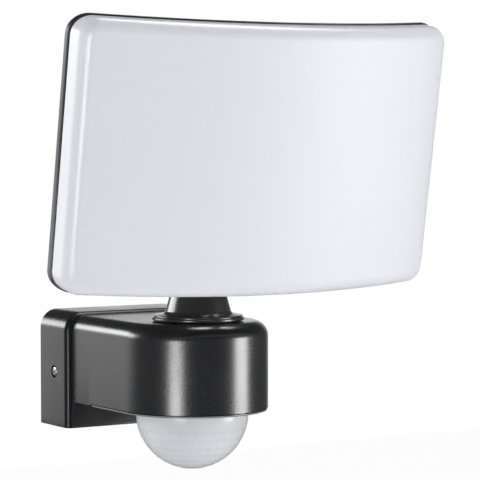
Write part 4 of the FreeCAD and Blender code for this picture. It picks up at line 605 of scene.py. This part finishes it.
def circuit_board(name, varnish, copper, track=520.0):
    """A varnished board: crossing straight tracks of a lighter tint under the varnish, thresholded from two waves,
    with round pads where a fine cell pattern comes near its points."""
    material, tree, shader, place = new_material(name, Coat_Weight=0.4, Coat_Roughness=0.15)
    warp = add_node(tree, "TexVoronoi", {"Vector": place, "Scale": 130.0}, distance="CHEBYCHEV")
    lines = add_node(tree, "TexWave", {"Vector": warp.outputs["Position"], "Scale": track, "Distortion": 0.0})
    runs = calc(tree, "LESS_THAN", warp.outputs["Distance"], 0.0032)
    pads = add_node(tree, "TexVoronoi", {"Vector": place, "Scale": 330.0})
    dots = calc(tree, "LESS_THAN", pads.outputs["Distance"], 0.22)
    mask = calc(tree, "MULTIPLY", runs, lines.outputs["Fac"])
    tint = blend(tree, mask, (*varnish, 1), (*[v * 1.7 for v in varnish], 1))
    add_grain(tree, shader, place, blend(tree, dots, tint, (*copper, 1)), 0.4, 0.8, 0.01, 0.05)
    return material


board_green = circuit_board("green circuit board", (0.012, 0.075, 0.028), (0.62, 0.60, 0.55))
dress(board_green, "sensor_board", "power_board")
dress(turned_metal("nickel plated can", (0.72, 0.71, 0.68), 0.28), "pyro_sensor")
dress(zinc, "board_screws")
dress(grained("blue potentiometer plastic", (0.02, 0.07, 0.24), 0.3, grain=0.6, depth=0.006), "dial_bases")

# Setting dials. Three pale knobs with a screwdriver slot in wells of the arm's underside.

DIAL_R, DIAL_EDGE, DIAL_THICK, STEM_R, STEM_TOP = 4.5, 0.6, 3, 1.5, 7.0
SLOT_HALF_WIDE, SLOT_HALF_LONG, SLOT_DEEP = 0.6, 3.2, 1.2

dial_grey = grained("dial plastic", (0.55, 0.55, 0.54), 0.45, grain=0.6, depth=0.015)
for name, x in zip(("time_dial", "light_dial", "range_dial"), DIAL_X):
    foot = ARM_FOOT + 0.2
    profile = [(0.02, foot), (3.6, foot)]
    profile += [(DIAL_R - DIAL_EDGE + DIAL_EDGE * s, foot + DIAL_EDGE * (1 - c)) for c, s in zip(*bend(6))]
    profile += [(DIAL_R, foot + DIAL_THICK), (STEM_R, foot + DIAL_THICK), (STEM_R, foot + STEM_TOP),
                (0.02, foot + STEM_TOP)]
    knob = skin("knob", hoops(profile, (x, DIAL_Y), 72))
    slot_flat = [(x + i * SLOT_HALF_WIDE, DIAL_Y + j * SLOT_HALF_LONG) for i, j in ((-1, -1), (1, -1), (1, 1), (-1, 1))]
    slot = prism("slot", slot_flat, foot - 1, foot + SLOT_DEEP, axis=2)
    settle(carve(name + "_knob", knob, [(TAKE, slot)]), name + "_knob", dial_grey, name, "dial_plastic", name)

# Power board's parts. A dark blue relay, a ferrite transformer with a taped winding and a sleeved capacitor.

dress(grained("relay case", (0.012, 0.022, 0.05), 0.28, grain=0.6, depth=0.008), "relay")


def wound(name, core, tape, pitch):
    """A ferrite core with a winding: even rings of a second colour along the upright axis, raised a little."""
    material, tree, shader, place = new_material(name)
    rings = add_node(tree, "TexWave", {"Vector": place, "Scale": pitch, "Distortion": 0.4}, bands_direction="Z")
    tint = blend(tree, rings.outputs["Fac"], (*core, 1), (*tape, 1))
    add_grain(tree, shader, place, tint, 0.45, 0.7, 0.02, 0.1)
    return material


dress(wound("transformer core and tape", (0.03, 0.028, 0.025), (0.42, 0.33, 0.05), 60.0), "transformer")
dress(grained("capacitor sleeve", (0.015, 0.015, 0.02), 0.25, grain=2.0, depth=0.006), "capacitor")

# ---------------------------------------------------------------------------------------------------------------
# Neck. A black satin moulding that turns on the arm's roof: a round flange with a groove in its edge, a cone and the
# hinge knuckle. A rubber seal lies below it, a ring and a spring washer hold it from inside.

HINGE_Z, HINGE_BORE = 76.0, 3.05
KNUCKLE_HALF, STEM_R_AT_FOOT, FLANK_AT_HINGE = 13.48, 15.8, 10.8
RING = ARM_ROOF + 0.7


def rounded_path(points, radii):
    """A line through points whose corners are replaced by circular arcs: each arc touches both neighbouring runs."""
    points = np.asarray(points, float)
    path = [points[:1]]
    for before, corner, after, radius in zip(points[:-2], points[1:-1], points[2:], radii):
        if not radius:
            path.append(corner[None])
            continue
        a, b = before - corner, after - corner
        room = min(np.linalg.norm(a), np.linalg.norm(b)) * 0.49
        a, b = a / np.linalg.norm(a), b / np.linalg.norm(b)
        half = math.acos(np.clip(a @ b, -1, 1)) / 2
        reach = min(radius / math.tan(half), room)
        share = np.linspace(0, 1, 7)[:, None]
        start, end = corner + a * reach, corner + b * reach
        path.append((1 - share) ** 2 * start + 2 * share * (1 - share) * corner + share ** 2 * end)
    path.append(points[-1:])
    return np.concatenate(path)


profile = [
    (5.0, 23.7), (14.0, 23.7), (14.0, 27.2), (12.6, 27.2), (12.6, 28.7), (14.0, 28.7), (14.0, RING),
    (27.0, RING), (27.0, RING + 1.9), (25.4, RING + 1.95), (25.4, RING + 2.3), (26.2, RING + 2.35),
    (26.0, RING + 3.0), (20.6, RING + 3.7), (19.3, RING + 5.1), (17.0, 47.3),
    (STEM_R_AT_FOOT, 52.0), (STEM_R_AT_FOOT, 61.0), (5.0, 61.0),
]
radii = [0.3, 0, 0, 0, 0, 0, 0.95, 0.95, 0.1, 0.1, 0.2, 0.35, 1.2, 1.6, 10, 8, 0]
neck_turned = skin("neck_turned", hoops(rounded_path(profile, radii), (0, NECK_Y), 160))


def neck_stem():
    """The stem between cone and knuckle: at each height a circle cut off by two flat cheeks and two sloping flanks,
    so its radius at an angle is the least of the three."""
    cos, sin = circle(160)
    rings = []
    for z in np.linspace(58.0, HINGE_Z, 24):
        flank = np.interp(z, (61.5, HINGE_Z), (STEM_R_AT_FOOT, FLANK_AT_HINGE))
        cheek = KNUCKLE_HALF + 2.3 * np.clip((62.5 - z) / 2.5, 0, 1) ** 2
        radius = np.minimum(STEM_R_AT_FOOT, np.minimum(cheek / np.maximum(np.abs(cos), 1e-3),
                                                        flank / np.maximum(np.abs(sin), 1e-3)))
        rings.append(np.stack([radius * cos, NECK_Y + radius * sin, np.full(160, z)], axis=-1))
    return skin("neck_stem", rings)


neck_steps = [
    (JOIN, neck_stem()),
    (JOIN, disc("knuckle", 11.0, -KNUCKLE_HALF, KNUCKLE_HALF, (NECK_Y, HINGE_Z), axis=0, count=120, edge=0.6)),
    (TAKE, disc("hinge_bore", HINGE_BORE, -30, 30, (NECK_Y, HINGE_Z), axis=0, count=48)),
    (TAKE, disc("lead_way", 5.0, 50.0, 66.0, (0, NECK_Y), count=64)),
    (TAKE, disc("lead_exit", 4.0, NECK_Y - 20, NECK_Y, (0, 62.5), axis=1, count=64)),
]
neck_black = grained("neck plastic", (0.032, 0.032, 0.033), 0.24, grain=1.2, depth=0.004, shade=0.12,
                     Specular_IOR_Level=1.0)
settle(carve("neck_post", neck_turned, neck_steps), "neck_post", neck_black, "neck", "neck_plastic", "neck", crease=24)

foam = grained("silicone foam", (0.006, 0.006, 0.007), 0.8, grain=0.8, depth=0.05, shade=0.3)
dress(foam, "neck_seal")
dress(turned_metal("spring steel", (0.40, 0.40, 0.42), 0.32), "neck_clip", "neck_washer")

# ---------------------------------------------------------------------------------------------------------------
# Back housing. The die-cast, powder-coated shell behind the light: a curved plate with a low rim all round, upright
# cooling ribs on both sides, bosses for the panel screws and a raised seat for the driver box.

PANEL_HALF, PANEL_RISE, PANEL_CORNER = 120.0, 76.2, 12.0
PANEL_Z = 65.0
BACK_Y, BACK_R = -64.8, 315.0
RIM, PLATE = 4.2, 2.5
LEAN = math.radians(9.8)


def lean(points):
    """Turns points drawn about the hinge forward by the panel's lean and moves them to the hinge."""
    points = np.asarray(points, float)
    y, z = points[..., 1], points[..., 2]
    return np.stack([points[..., 0], NECK_Y + y * math.cos(LEAN) - z * math.sin(LEAN),
                     HINGE_Z + y * math.sin(LEAN) + z * math.cos(LEAN)], axis=-1)


def layer_y(x, layer):
    """How far forward a layer of the bent panel lies at a distance from its middle: a circle about the axis."""
    return BACK_Y + BACK_R - np.sqrt((BACK_R + layer) ** 2 - np.square(x))


def panel_ring(inset, layer):
    """The panel's outline drawn in by an inset and laid on a layer of the bend."""
    side, rise, corner = PANEL_HALF - inset, PANEL_RISE - inset, PANEL_CORNER - inset
    flat, _ = outline(-side, side, -rise, rise, corner, corner, 16, 40)
    return np.stack([flat[:, 0], layer_y(flat[:, 0], layer), PANEL_Z + flat[:, 1]], axis=-1)


def panel_bed(ring, layer, rings):
    """Rings that shrink from a panel ring to its middle, all on the same layer: angle and height shrink alike."""
    angle = np.arcsin(np.clip(ring[:, 0] / (BACK_R + layer), -1, 1))
    share = np.linspace(1, 0.02, rings + 1)[1:, None]
    x = (BACK_R + layer) * np.sin(angle * share)
    y = BACK_Y + BACK_R - (BACK_R + layer) * np.cos(angle * share)
    return np.stack([x, y, PANEL_Z + (ring[:, 2] - PANEL_Z) * share], axis=-1)


RIM_WALL, RIM_EDGE, BACK_EDGE = 3.2, 0.35, 1.4

cos, sin = bend(6)
floor_ring = panel_ring(RIM_WALL, PLATE)
rings = list(panel_bed(floor_ring, PLATE, 18)[::-1])
rings += [floor_ring, panel_ring(RIM_WALL, RIM)]
rings += [panel_ring(RIM_EDGE * (1 - s), RIM - RIM_EDGE * (1 - c)) for c, s in zip(cos, sin)]
edge_rings = [panel_ring(BACK_EDGE * (1 - c), BACK_EDGE * (1 - s)) for c, s in zip(cos, sin)]
rings += edge_rings
rings += list(panel_bed(edge_rings[-1], 0.0, 18))
dish = skin("dish", lean(np.array(rings)))

RIB_X = [56.0 + 6.4 * i for i in range(8)]
RIB_HALF, RIB_THICK, RIB_DEPTH = 59.0, 1.8, 4.0


def rib(x):
    """A rib as a solid along Z: at each height a round-crested section, lower and thinner towards both ends."""
    share = np.linspace(-1, 1, 41)
    taper = np.sqrt(np.clip(1 - np.clip((np.abs(share) - 0.93) / 0.07, 0, 1) ** 2, 0, 1))
    turn = np.linspace(0, math.pi, 9)
    root = layer_y(x, 1.2)
    crest = layer_y(x, 0) + RIB_DEPTH
    rings = []
    for part, fade in zip(share, taper):
        half = RIB_THICK / 2 * (0.35 + 0.65 * fade)
        high = root + (crest - root) * (0.3 + 0.7 * fade)
        xs = np.concatenate([x + half * np.cos(turn), [x - half, x + half]])
        ys = np.concatenate([high - half + half * np.sin(turn), [root, root]])
        rings.append(np.stack([xs, ys, np.full(len(xs), PANEL_Z + RIB_HALF * part)], axis=-1))
    return skin("rib", lean(rings))


def leant(item):
    """Leans a finished solid with the panel."""
    item.data.vertices.foreach_set("co", (lean(spots_of(item.data) / MM) * MM).ravel())
    return item


def leant_disc(name, radius, near, far, x, z, count=48, edge=0.0):
    """A round bar along the panel's depth, from one distance behind the hinge to another, leant with the panel."""
    return leant(disc(name, radius, near, far, (x, z), axis=1, count=count, edge=edge))


def leant_box(name, half, low, high, corner, near, far, edge=0.0):
    """A round-cornered block of the head between two depths, its near end drawn in along a quarter circle."""
    rings = [faced(outline(-half + inset, half - inset, low + inset, high - inset, max(corner - inset, 0.3),
                           max(corner - inset, 0.3))[0], y)
             for inset, y in round_end(edge, near, 7)[::-1] + [(0, far)]]
    return skin(name, lean(np.array(rings)))


def four_spots(x, z, middle):
    """Spots at a distance to both sides, and at a height above and below a middle height."""
    return [(sx * x, middle + sz * z) for sx in (-1, 1) for sz in (-1, 1)]


PANEL_SCREWS = four_spots(111.0, 45.0, PANEL_Z) + four_spots(40.0, 68.0, PANEL_Z)
PANEL_SEAT = 2.2
DRIVER_LOW, DRIVER_HIGH, DRIVER_HALF = 6.0, 90.0, 44.0
DRIVER_REAR, DRIVER_FRONT = -28.0, -51.0

steps = [(JOIN, rib(side * x)) for side in (-1, 1) for x in RIB_X]
steps.append((JOIN, leant_box("seat", DRIVER_HALF, DRIVER_LOW, DRIVER_HIGH, 7.0, DRIVER_FRONT - 0.8, BACK_Y - 1.0,
                              0.3)))
steps.append((TAKE, leant_box("seat_room", DRIVER_HALF - 5.5, DRIVER_LOW + 5.5, DRIVER_HIGH - 5.5, 2.5,
                              DRIVER_FRONT + 3, BACK_Y + 2.6)))
for x, z in PANEL_SCREWS:
    rear = float(layer_y(x, 0)) + PANEL_SEAT
    steps.append((JOIN, leant_disc("boss", 4.5, rear - 3.4, rear, x, z, edge=0.4)))
back_housing = carve("back_housing_shell", dish, steps)


def coated_metal():
    """Powder coat over a cast and trimmed edge: a speckled grain, and on the rim's side faint upright strokes. The coat
    is also painted lighter towards the bottom and darker towards the top, as painted shading.
    """
    material, tree, shader, place = new_material("powder coated casting", Specular_IOR_Level=0.5)
    stretch = add_node(tree, "Mapping", {"Vector": place, "Scale": (2600.0, 2600.0, 90.0)})
    strokes = add_node(tree, "TexNoise", {"Vector": stretch.outputs[0], "Scale": 1.0, "Detail": 3.0})
    tone = add_ramp(tree, strokes.outputs["Fac"], 0.3, 0.7, 0.80, 1.25)
    aside, _, height = apart(tree, place)
    trimmed = add_ramp(tree, aside, 0.1184, 0.1194, 0.040, 0.088)
    # Painted shading: the coat's colour is made lighter low down and darker high up, standing in for how the light
    # falls on it.
    painted_shade_by_height = add_ramp(tree, height, 0.07, 0.14, 1.6, 0.45)
    bright = calc(tree, "MULTIPLY", calc(tree, "MULTIPLY", tone, trimmed), painted_shade_by_height)
    add_grain(tree, shader, place, scaled(tree, (1.0, 1.03, 1.13), bright), 0.42, 1.0, 0.03, 0.14, 0.12)
    return material


coat = coated_metal()
settle(back_housing, "back_housing_shell", coat, "head", "head_metal", "back_housing", crease=30)

# Panel seal. A thin black silicone line between the rim and the opal cover.

dress(foam, "panel_seal")

# Light source. White boards with yellow phosphor chips, set through slots of a white reflector sheet.

dress(grained("white circuit board", (0.80, 0.80, 0.79), 0.35, grain=0.7, depth=0.006), "led_strips")


def phosphor():
    """A chip: a yellow phosphor dot mottled by fine grains, in a paler frame."""
    material, tree, shader, place = new_material("chip phosphor", Coat_Weight=0.3)
    cells = add_node(tree, "TexVoronoi", {"Vector": place, "Scale": 2400.0})
    tint = blend(tree, cells.outputs["Distance"], (0.85, 0.62, 0.12, 1), (0.92, 0.80, 0.40, 1))
    add_grain(tree, shader, place, tint, 0.35, 0.4, 0.01, 0.08)
    return material


dress(phosphor(), "led_chips")
dress(grained("reflector sheet", (0.86, 0.86, 0.85), 0.5, grain=1.0, depth=0.01), "reflector")

# ---------------------------------------------------------------------------------------------------------------
# Diffuser. The opal cover over the light: a bent tray with straight sides, a deep round front edge all round and a
# front that follows the bend. It is moulded in opal plastic with a satin front.

OPAL_INSET, OPAL_FRONT, OPAL_EDGE, OPAL_WALL, OPAL_BACK = 0.8, 18.8, 7.7, 2.2, RIM + 0.8
OPAL_SIDE_MORE = 2.1


def opal_side(inset, front, edge):
    """Rings of the tray's skin from its back to its front face. The side is upright to the panel. The rounding is a
    ball rolled along side and front: its centre lies an edge radius inside both, and the rings turn from the side's
    direction to the front's around that centre. The edge radius grows towards the panel's upright sides."""
    side, rise, corner = PANEL_HALF - inset, PANEL_RISE - inset, PANEL_CORNER - inset
    flat, out = outline(-side, side, -rise, rise, corner, corner, 22, 60)
    edge = edge + OPAL_SIDE_MORE * out[:, :1] ** 2
    centre = flat - out * edge
    middle = np.stack([centre[:, 0], layer_y(centre[:, 0], front - edge[:, 0]), PANEL_Z + centre[:, 1]], axis=-1)
    back = np.stack([flat[:, 0], layer_y(flat[:, 0], OPAL_BACK), PANEL_Z + flat[:, 1]], axis=-1)
    from_side = np.stack([out[:, 0], np.zeros(len(out)), out[:, 1]], axis=-1)
    to_front = np.stack([centre[:, 0], middle[:, 1] - (BACK_Y + BACK_R), np.zeros(len(out))], axis=-1)
    to_front /= np.linalg.norm(to_front, axis=1, keepdims=True)
    whole = np.arccos(np.clip((from_side * to_front).sum(axis=1, keepdims=True), -1, 1))
    start = middle + from_side * edge
    rings = [back * (1 - share) + start * share for share in np.linspace(0, 1, 6, endpoint=False)]
    for share in np.linspace(0, 1, 18):
        mix = (np.sin((1 - share) * whole) * from_side + np.sin(share * whole) * to_front) / np.sin(whole)
        rings.append(middle + edge * mix)
    return rings


outer = opal_side(OPAL_INSET, OPAL_FRONT, OPAL_EDGE)
inner = opal_side(OPAL_INSET + OPAL_WALL, OPAL_FRONT - OPAL_WALL, OPAL_EDGE - OPAL_WALL)
rings = list(panel_bed(inner[-1], OPAL_FRONT - OPAL_WALL, 14)[::-1]) + inner[::-1]
rings += outer + list(panel_bed(outer[-1], OPAL_FRONT, 40))
tray = skin("tray", lean(np.array(rings)))


def opal():
    """Opal plastic: almost even white, with a faint ripple that only the gloss shows. The front is satin, the rounding
    glossier, and the flat upright sides are matt and painted a little whiter as painted light."""
    material, tree, shader, place = new_material("opal plastic")
    aside = apart(tree, place)[0]
    side = add_ramp(tree, aside, 0.1188, 0.1191)
    height = add_node(tree, "VectorMath", {0: place, 1: (0.0, -math.sin(LEAN), math.cos(LEAN))},
                      operation="DOT_PRODUCT")
    middle = (-NECK_Y * math.sin(LEAN) + HINGE_Z * math.cos(LEAN) + PANEL_Z) * MM
    off_middle = calc(tree, "ABSOLUTE", calc(tree, "ADD", height.outputs["Value"], -middle))
    border = calc(tree, "MAXIMUM", add_ramp(tree, aside, 0.101, 0.108), add_ramp(tree, off_middle, 0.0690, 0.0718))
    # Painted light: the flat upright sides are given a whiter colour, standing in for the light that falls on them.
    tint = blend(tree, side, (0.765, 0.785, 0.83, 1), (0.87, 0.89, 0.925, 1))
    satin = add_ramp(tree, border, 0.0, 1.0, 0.46, 0.28)
    add_grain(tree, shader, place, tint, satin, 3.0, 0.004, 0.012, 0.03)
    tree.links.new(add_ramp(tree, side, 0.0, 1.0, 0.55, 0.15), shader.inputs["Specular IOR Level"])
    return material


settle(tray, "diffuser_tray", opal(), "head", "opal_plastic", "diffuser", crease=40)

# Panel screws. Eight stainless screws through the back housing into the opal cover's posts.

REARWARD = (0, math.cos(LEAN), math.sin(LEAN))
add_screws("panel_screws", "_set", stainless, "head", "screw_steel", (2.8, 1.9, 1.4, 11.0),
           [(lean((x, float(layer_y(x, 0)) + PANEL_SEAT, z)), REARWARD, 12 * i)
            for i, (x, z) in enumerate(PANEL_SCREWS)])

# ---------------------------------------------------------------------------------------------------------------
# Driver box. A cast and coated tray over the seat of the back housing, open towards it, with round rear edges, four
# sunk screws at its corners and a hole for the lead.


def tray_rings(inset, corner, rear, edge):
    """Rings of a tray's skin from its open front to the middle of its rear wall, round along the rear edge."""
    half, low, high = DRIVER_HALF - inset, DRIVER_LOW + inset, DRIVER_HIGH - inset
    rings = [faced(outline(-half + more, half - more, low + more, high - more, corner - more, corner - more)[0], y)
             for more, y in [(0, DRIVER_FRONT)] + round_end(edge, rear, 8)]
    middle = np.array([0, rear, (low + high) / 2])
    return rings + [middle + (rings[-1] - middle) * share for share in np.linspace(0.9, 0.02, 8)]


DRIVER_WALL, DRIVER_SINK = 2.8, 2.8
DRIVER_SCREWS = four_spots(37.5, 35.5, 48.0)
LEAD_Z = 22.0

rings = tray_rings(DRIVER_WALL, 4.7, DRIVER_REAR - DRIVER_WALL, 1.5)[::-1] + tray_rings(0.0, 7.0, DRIVER_REAR, 4.0)
driver = skin("driver", lean(np.array(rings)))
steps = [(JOIN, leant_disc("driver_post", 4.2, DRIVER_FRONT + 0.01, -29.5, x, z)) for x, z in DRIVER_SCREWS]
steps += [(TAKE, leant_disc("sink", 3.1, -30.7, -20.0, x, z)) for x, z in DRIVER_SCREWS]
steps.append((TAKE, leant_disc("lead_hole", 5.0, -40.0, -20.0, 0.0, LEAD_Z, count=64)))
settle(carve("driver_box_shell", driver, steps), "driver_box_shell", coat, "head", "driver_metal", "driver_box",
       crease=30)

add_screws("driver_screws", "_set", stainless, "head", "screw_steel", (2.8, 1.8, 1.4, 27.0),
           [(lean((x, DRIVER_REAR - DRIVER_SINK, z)), REARWARD, 17 * i) for i, (x, z) in enumerate(DRIVER_SCREWS)])
dress(foam, "driver_seal")
dress(rubber_black, "lead_grommet")
dress(board_green, "driver_board")
dress(wound("coil core and copper", (0.03, 0.028, 0.026), (0.55, 0.22, 0.09), 240.0), "driver_coil")
dress(grained("driver capacitor sleeve", (0.02, 0.02, 0.026), 0.25, grain=2.0, depth=0.006), "driver_capacitors")

# Hinge bracket. A coated foot plate on the driver box's rear with a window for the lead and two flat ears, and four
# screws.

EAR_NEAR, EAR_FAR, EAR_R = 14.0, 19.0, 11.5
EAR_ROOT, EAR_LOW, EAR_HIGH = -26.8, 13.0, 40.0
PLATE_NEAR, PLATE_LOW, PLATE_HIGH = -25.5, 10.0, 42.0


def tangent_from(y, z, side):
    """The angle at which a line from a spot outside the ear's round end touches it."""
    reach = math.hypot(y, z)
    return math.atan2(z, y) + side * math.acos(EAR_R / reach)


turn = np.linspace(tangent_from(EAR_ROOT, EAR_HIGH, -1), tangent_from(EAR_ROOT, EAR_LOW, 1) - 2 * math.pi, 48)
ear_flat = np.concatenate([np.stack([EAR_R * np.cos(turn), EAR_R * np.sin(turn)], axis=-1),
                           [(EAR_ROOT, EAR_LOW), (EAR_ROOT, EAR_HIGH)]])
steps = []
for side in (-1, 1):
    low, high = sorted((side * EAR_NEAR, side * EAR_FAR))
    steps.append((JOIN, leant(prism("ear", ear_flat, low, high, 0.6, axis=0))))
steps.append((TAKE, leant_disc("window", 7.5, -30.0, -20.0, 0.0, LEAD_Z, count=64)))
BRACKET_SCREWS = four_spots(8.5, 12.0, 26.0)
steps += [(TAKE, leant_disc("way", 1.7, -30.0, -20.0, x, z, count=32)) for x, z in BRACKET_SCREWS]
steps.append((TAKE, disc("ear_bore", HINGE_BORE, -30, 30, (NECK_Y, HINGE_Z), axis=0)))
plate = leant_box("bracket_plate", EAR_FAR, PLATE_LOW, PLATE_HIGH, 3.0, PLATE_NEAR, DRIVER_REAR, 0.4)
settle(carve("hinge_bracket_casting", plate, steps), "hinge_bracket_casting", coat, "head", "driver_metal",
       "hinge_bracket", crease=30)
add_screws("bracket_screws", "_set", stainless, "head", "screw_steel", (2.8, 1.8, 1.4, 8.0),
           [(lean((x, PLATE_NEAR, z)), REARWARD, 23 * i) for i, (x, z) in enumerate(BRACKET_SCREWS)])

# Hinge. A stainless bolt with its nut and two friction washers joins ears and knuckle.

dress(stainless, "hinge_bolt", "hinge_nut")
dress(grained("friction fibre", (0.10, 0.035, 0.015), 0.7, grain=0.6, depth=0.04, shade=0.3), "hinge_washers")

# ---------------------------------------------------------------------------------------------------------------
# Floor, light and camera. A plain pale floor far below, large soft lamps on the right, on the left, behind and above,
# two fills that no gloss shows, and the camera where the photograph was taken from.

FLOOR_HALF, FLOOR_Z = 2.2, -0.42

floor_mesh = bpy.data.meshes.new("floor")
floor_mesh.from_pydata([(i * FLOOR_HALF, j * FLOOR_HALF, FLOOR_Z) for i, j in ((-1, -1), (1, -1), (1, 1), (-1, 1))], [],
                       [(0, 1, 2, 3)])
floor = add_object("floor", floor_mesh)
pale = bpy.data.materials.new("pale floor")
pale.use_nodes = True
tree = pale.node_tree
tree.nodes.clear()
path = tree.nodes.new("ShaderNodeLightPath")
share = calc(tree, "MULTIPLY", path.outputs["Is Camera Ray"], 0.97)
tint = blend(tree, path.outputs["Is Glossy Ray"], (0.92, 0.92, 0.925, 1), (0.1, 0.1, 0.1, 1))
matte = add_node(tree, "BsdfDiffuse", {"Color": tint})
glow = add_node(tree, "Emission", {"Color": (1, 1, 1, 1), "Strength": 1.0})
both = add_node(tree, "MixShader", {0: share, 1: matte.outputs[0], 2: glow.outputs[0]})
end = tree.nodes.new("ShaderNodeOutputMaterial")
tree.links.new(both.outputs[0], end.inputs["Surface"])
floor_mesh.materials.append(pale)

world = bpy.data.worlds.new("studio")
bpy.context.scene.world = world
world.use_nodes = True
tree = world.node_tree
tree.nodes.clear()
path = tree.nodes.new("ShaderNodeLightPath")
aim = tree.nodes.new("ShaderNodeTexCoord")
split = add_node(tree, "SeparateXYZ", {0: aim.outputs["Generated"]}).outputs
behind = add_ramp(tree, split["Y"], 0.55, 0.81)
low = add_ramp(tree, split["Z"], 0.13, 0.28, 1.0, 0.0)
parted = add_ramp(tree, calc(tree, "ABSOLUTE", split["X"]), 0.12, 0.30)
cove = calc(tree, "MULTIPLY", calc(tree, "MULTIPLY", behind, parted), low)
level = add_ramp(tree, split["X"], 0.30, 0.45, 0.84, 1.35)
base = add_ramp(tree, split["Z"], 0.05, 0.35, 0.13, 0.05)
studio = calc(tree, "MULTIPLY_ADD", cove, level, base)
ambient = add_node(tree, "Mix", {"Factor": path.outputs["Is Diffuse Ray"], "A": studio, "B": 0.155},
                   data_type="FLOAT")
show = add_node(tree, "Mix", {"Factor": path.outputs["Is Camera Ray"], "A": ambient.outputs[0], "B": 1.0},
                data_type="FLOAT")
sky = add_node(tree, "Background", {"Color": (1, 1, 1, 1), "Strength": show.outputs[0]})
end = tree.nodes.new("ShaderNodeOutputWorld")
tree.links.new(sky.outputs[0], end.inputs["Surface"])


def soft_lamp(name, azimuth, rise, distance, width, height, power, glossy):
    """A large soft lamp aimed at the object. Azimuth is counted from straight in front, positive to the right."""
    a, e = math.radians(azimuth), math.radians(rise)
    target = Vector((0, -0.1, 0.05))
    spot = target + distance * Vector((math.sin(a) * math.cos(e), -math.cos(a) * math.cos(e), math.sin(e)))
    lamp = bpy.data.lights.new(name, "AREA")
    lamp.shape = "RECTANGLE"
    lamp.size, lamp.size_y = width, height
    lamp.energy = power
    item = add_object(name, lamp)
    item.location = spot
    item.rotation_euler = (target - spot).to_track_quat("-Z", "Y").to_euler()
    item.visible_glossy = glossy


soft_lamp("lamp right", 48, -5.0, 1.7, 0.68, 0.86, 17.3, True)
soft_lamp("lamp left", -54.8, -10.0, 1.7, 0.52, 0.66, 11.5, True)
soft_lamp("lamp behind", -146.5, 13.0, 3.4, 2.30, 0.88, 42, True)
soft_lamp("lamp above", 110, 67, 1.6, 0.8, 0.7, 12, True)
soft_lamp("fill from the left", -98, 4, 1.7, 1.2, 1.0, 4, False)
soft_lamp("fill from above", -15, 62, 1.7, 1.2, 1.2, 5, False)

SHOT_AZIMUTH, SHOT_RISE, SHOT_ROLL = math.radians(31.78), math.radians(2.72), math.radians(-0.05)
SHOT_PLACE, SHOT_FOCAL, SHOT_WIDTH = (-0.690739, -1.269280, 0.144729), 2314.31, 480
back = Vector((-math.sin(SHOT_AZIMUTH) * math.cos(SHOT_RISE), -math.cos(SHOT_AZIMUTH) * math.cos(SHOT_RISE),
               math.sin(SHOT_RISE)))
right = Vector((math.cos(SHOT_AZIMUTH), -math.sin(SHOT_AZIMUTH), 0))
up = back.cross(right)
camera_data = bpy.data.cameras.new("camera")
camera_data.sensor_width = 36.0
camera_data.lens = SHOT_FOCAL * camera_data.sensor_width / SHOT_WIDTH
camera_data.clip_end = 100
camera = add_object("camera", camera_data)
turn = Matrix((right, up, back)).transposed().to_4x4() @ Matrix.Rotation(SHOT_ROLL, 4, "Z")
camera.matrix_world = Matrix.Translation(SHOT_PLACE) @ turn
bpy.context.scene.camera = camera
bpy.context.scene.view_settings.view_transform = "Standard"
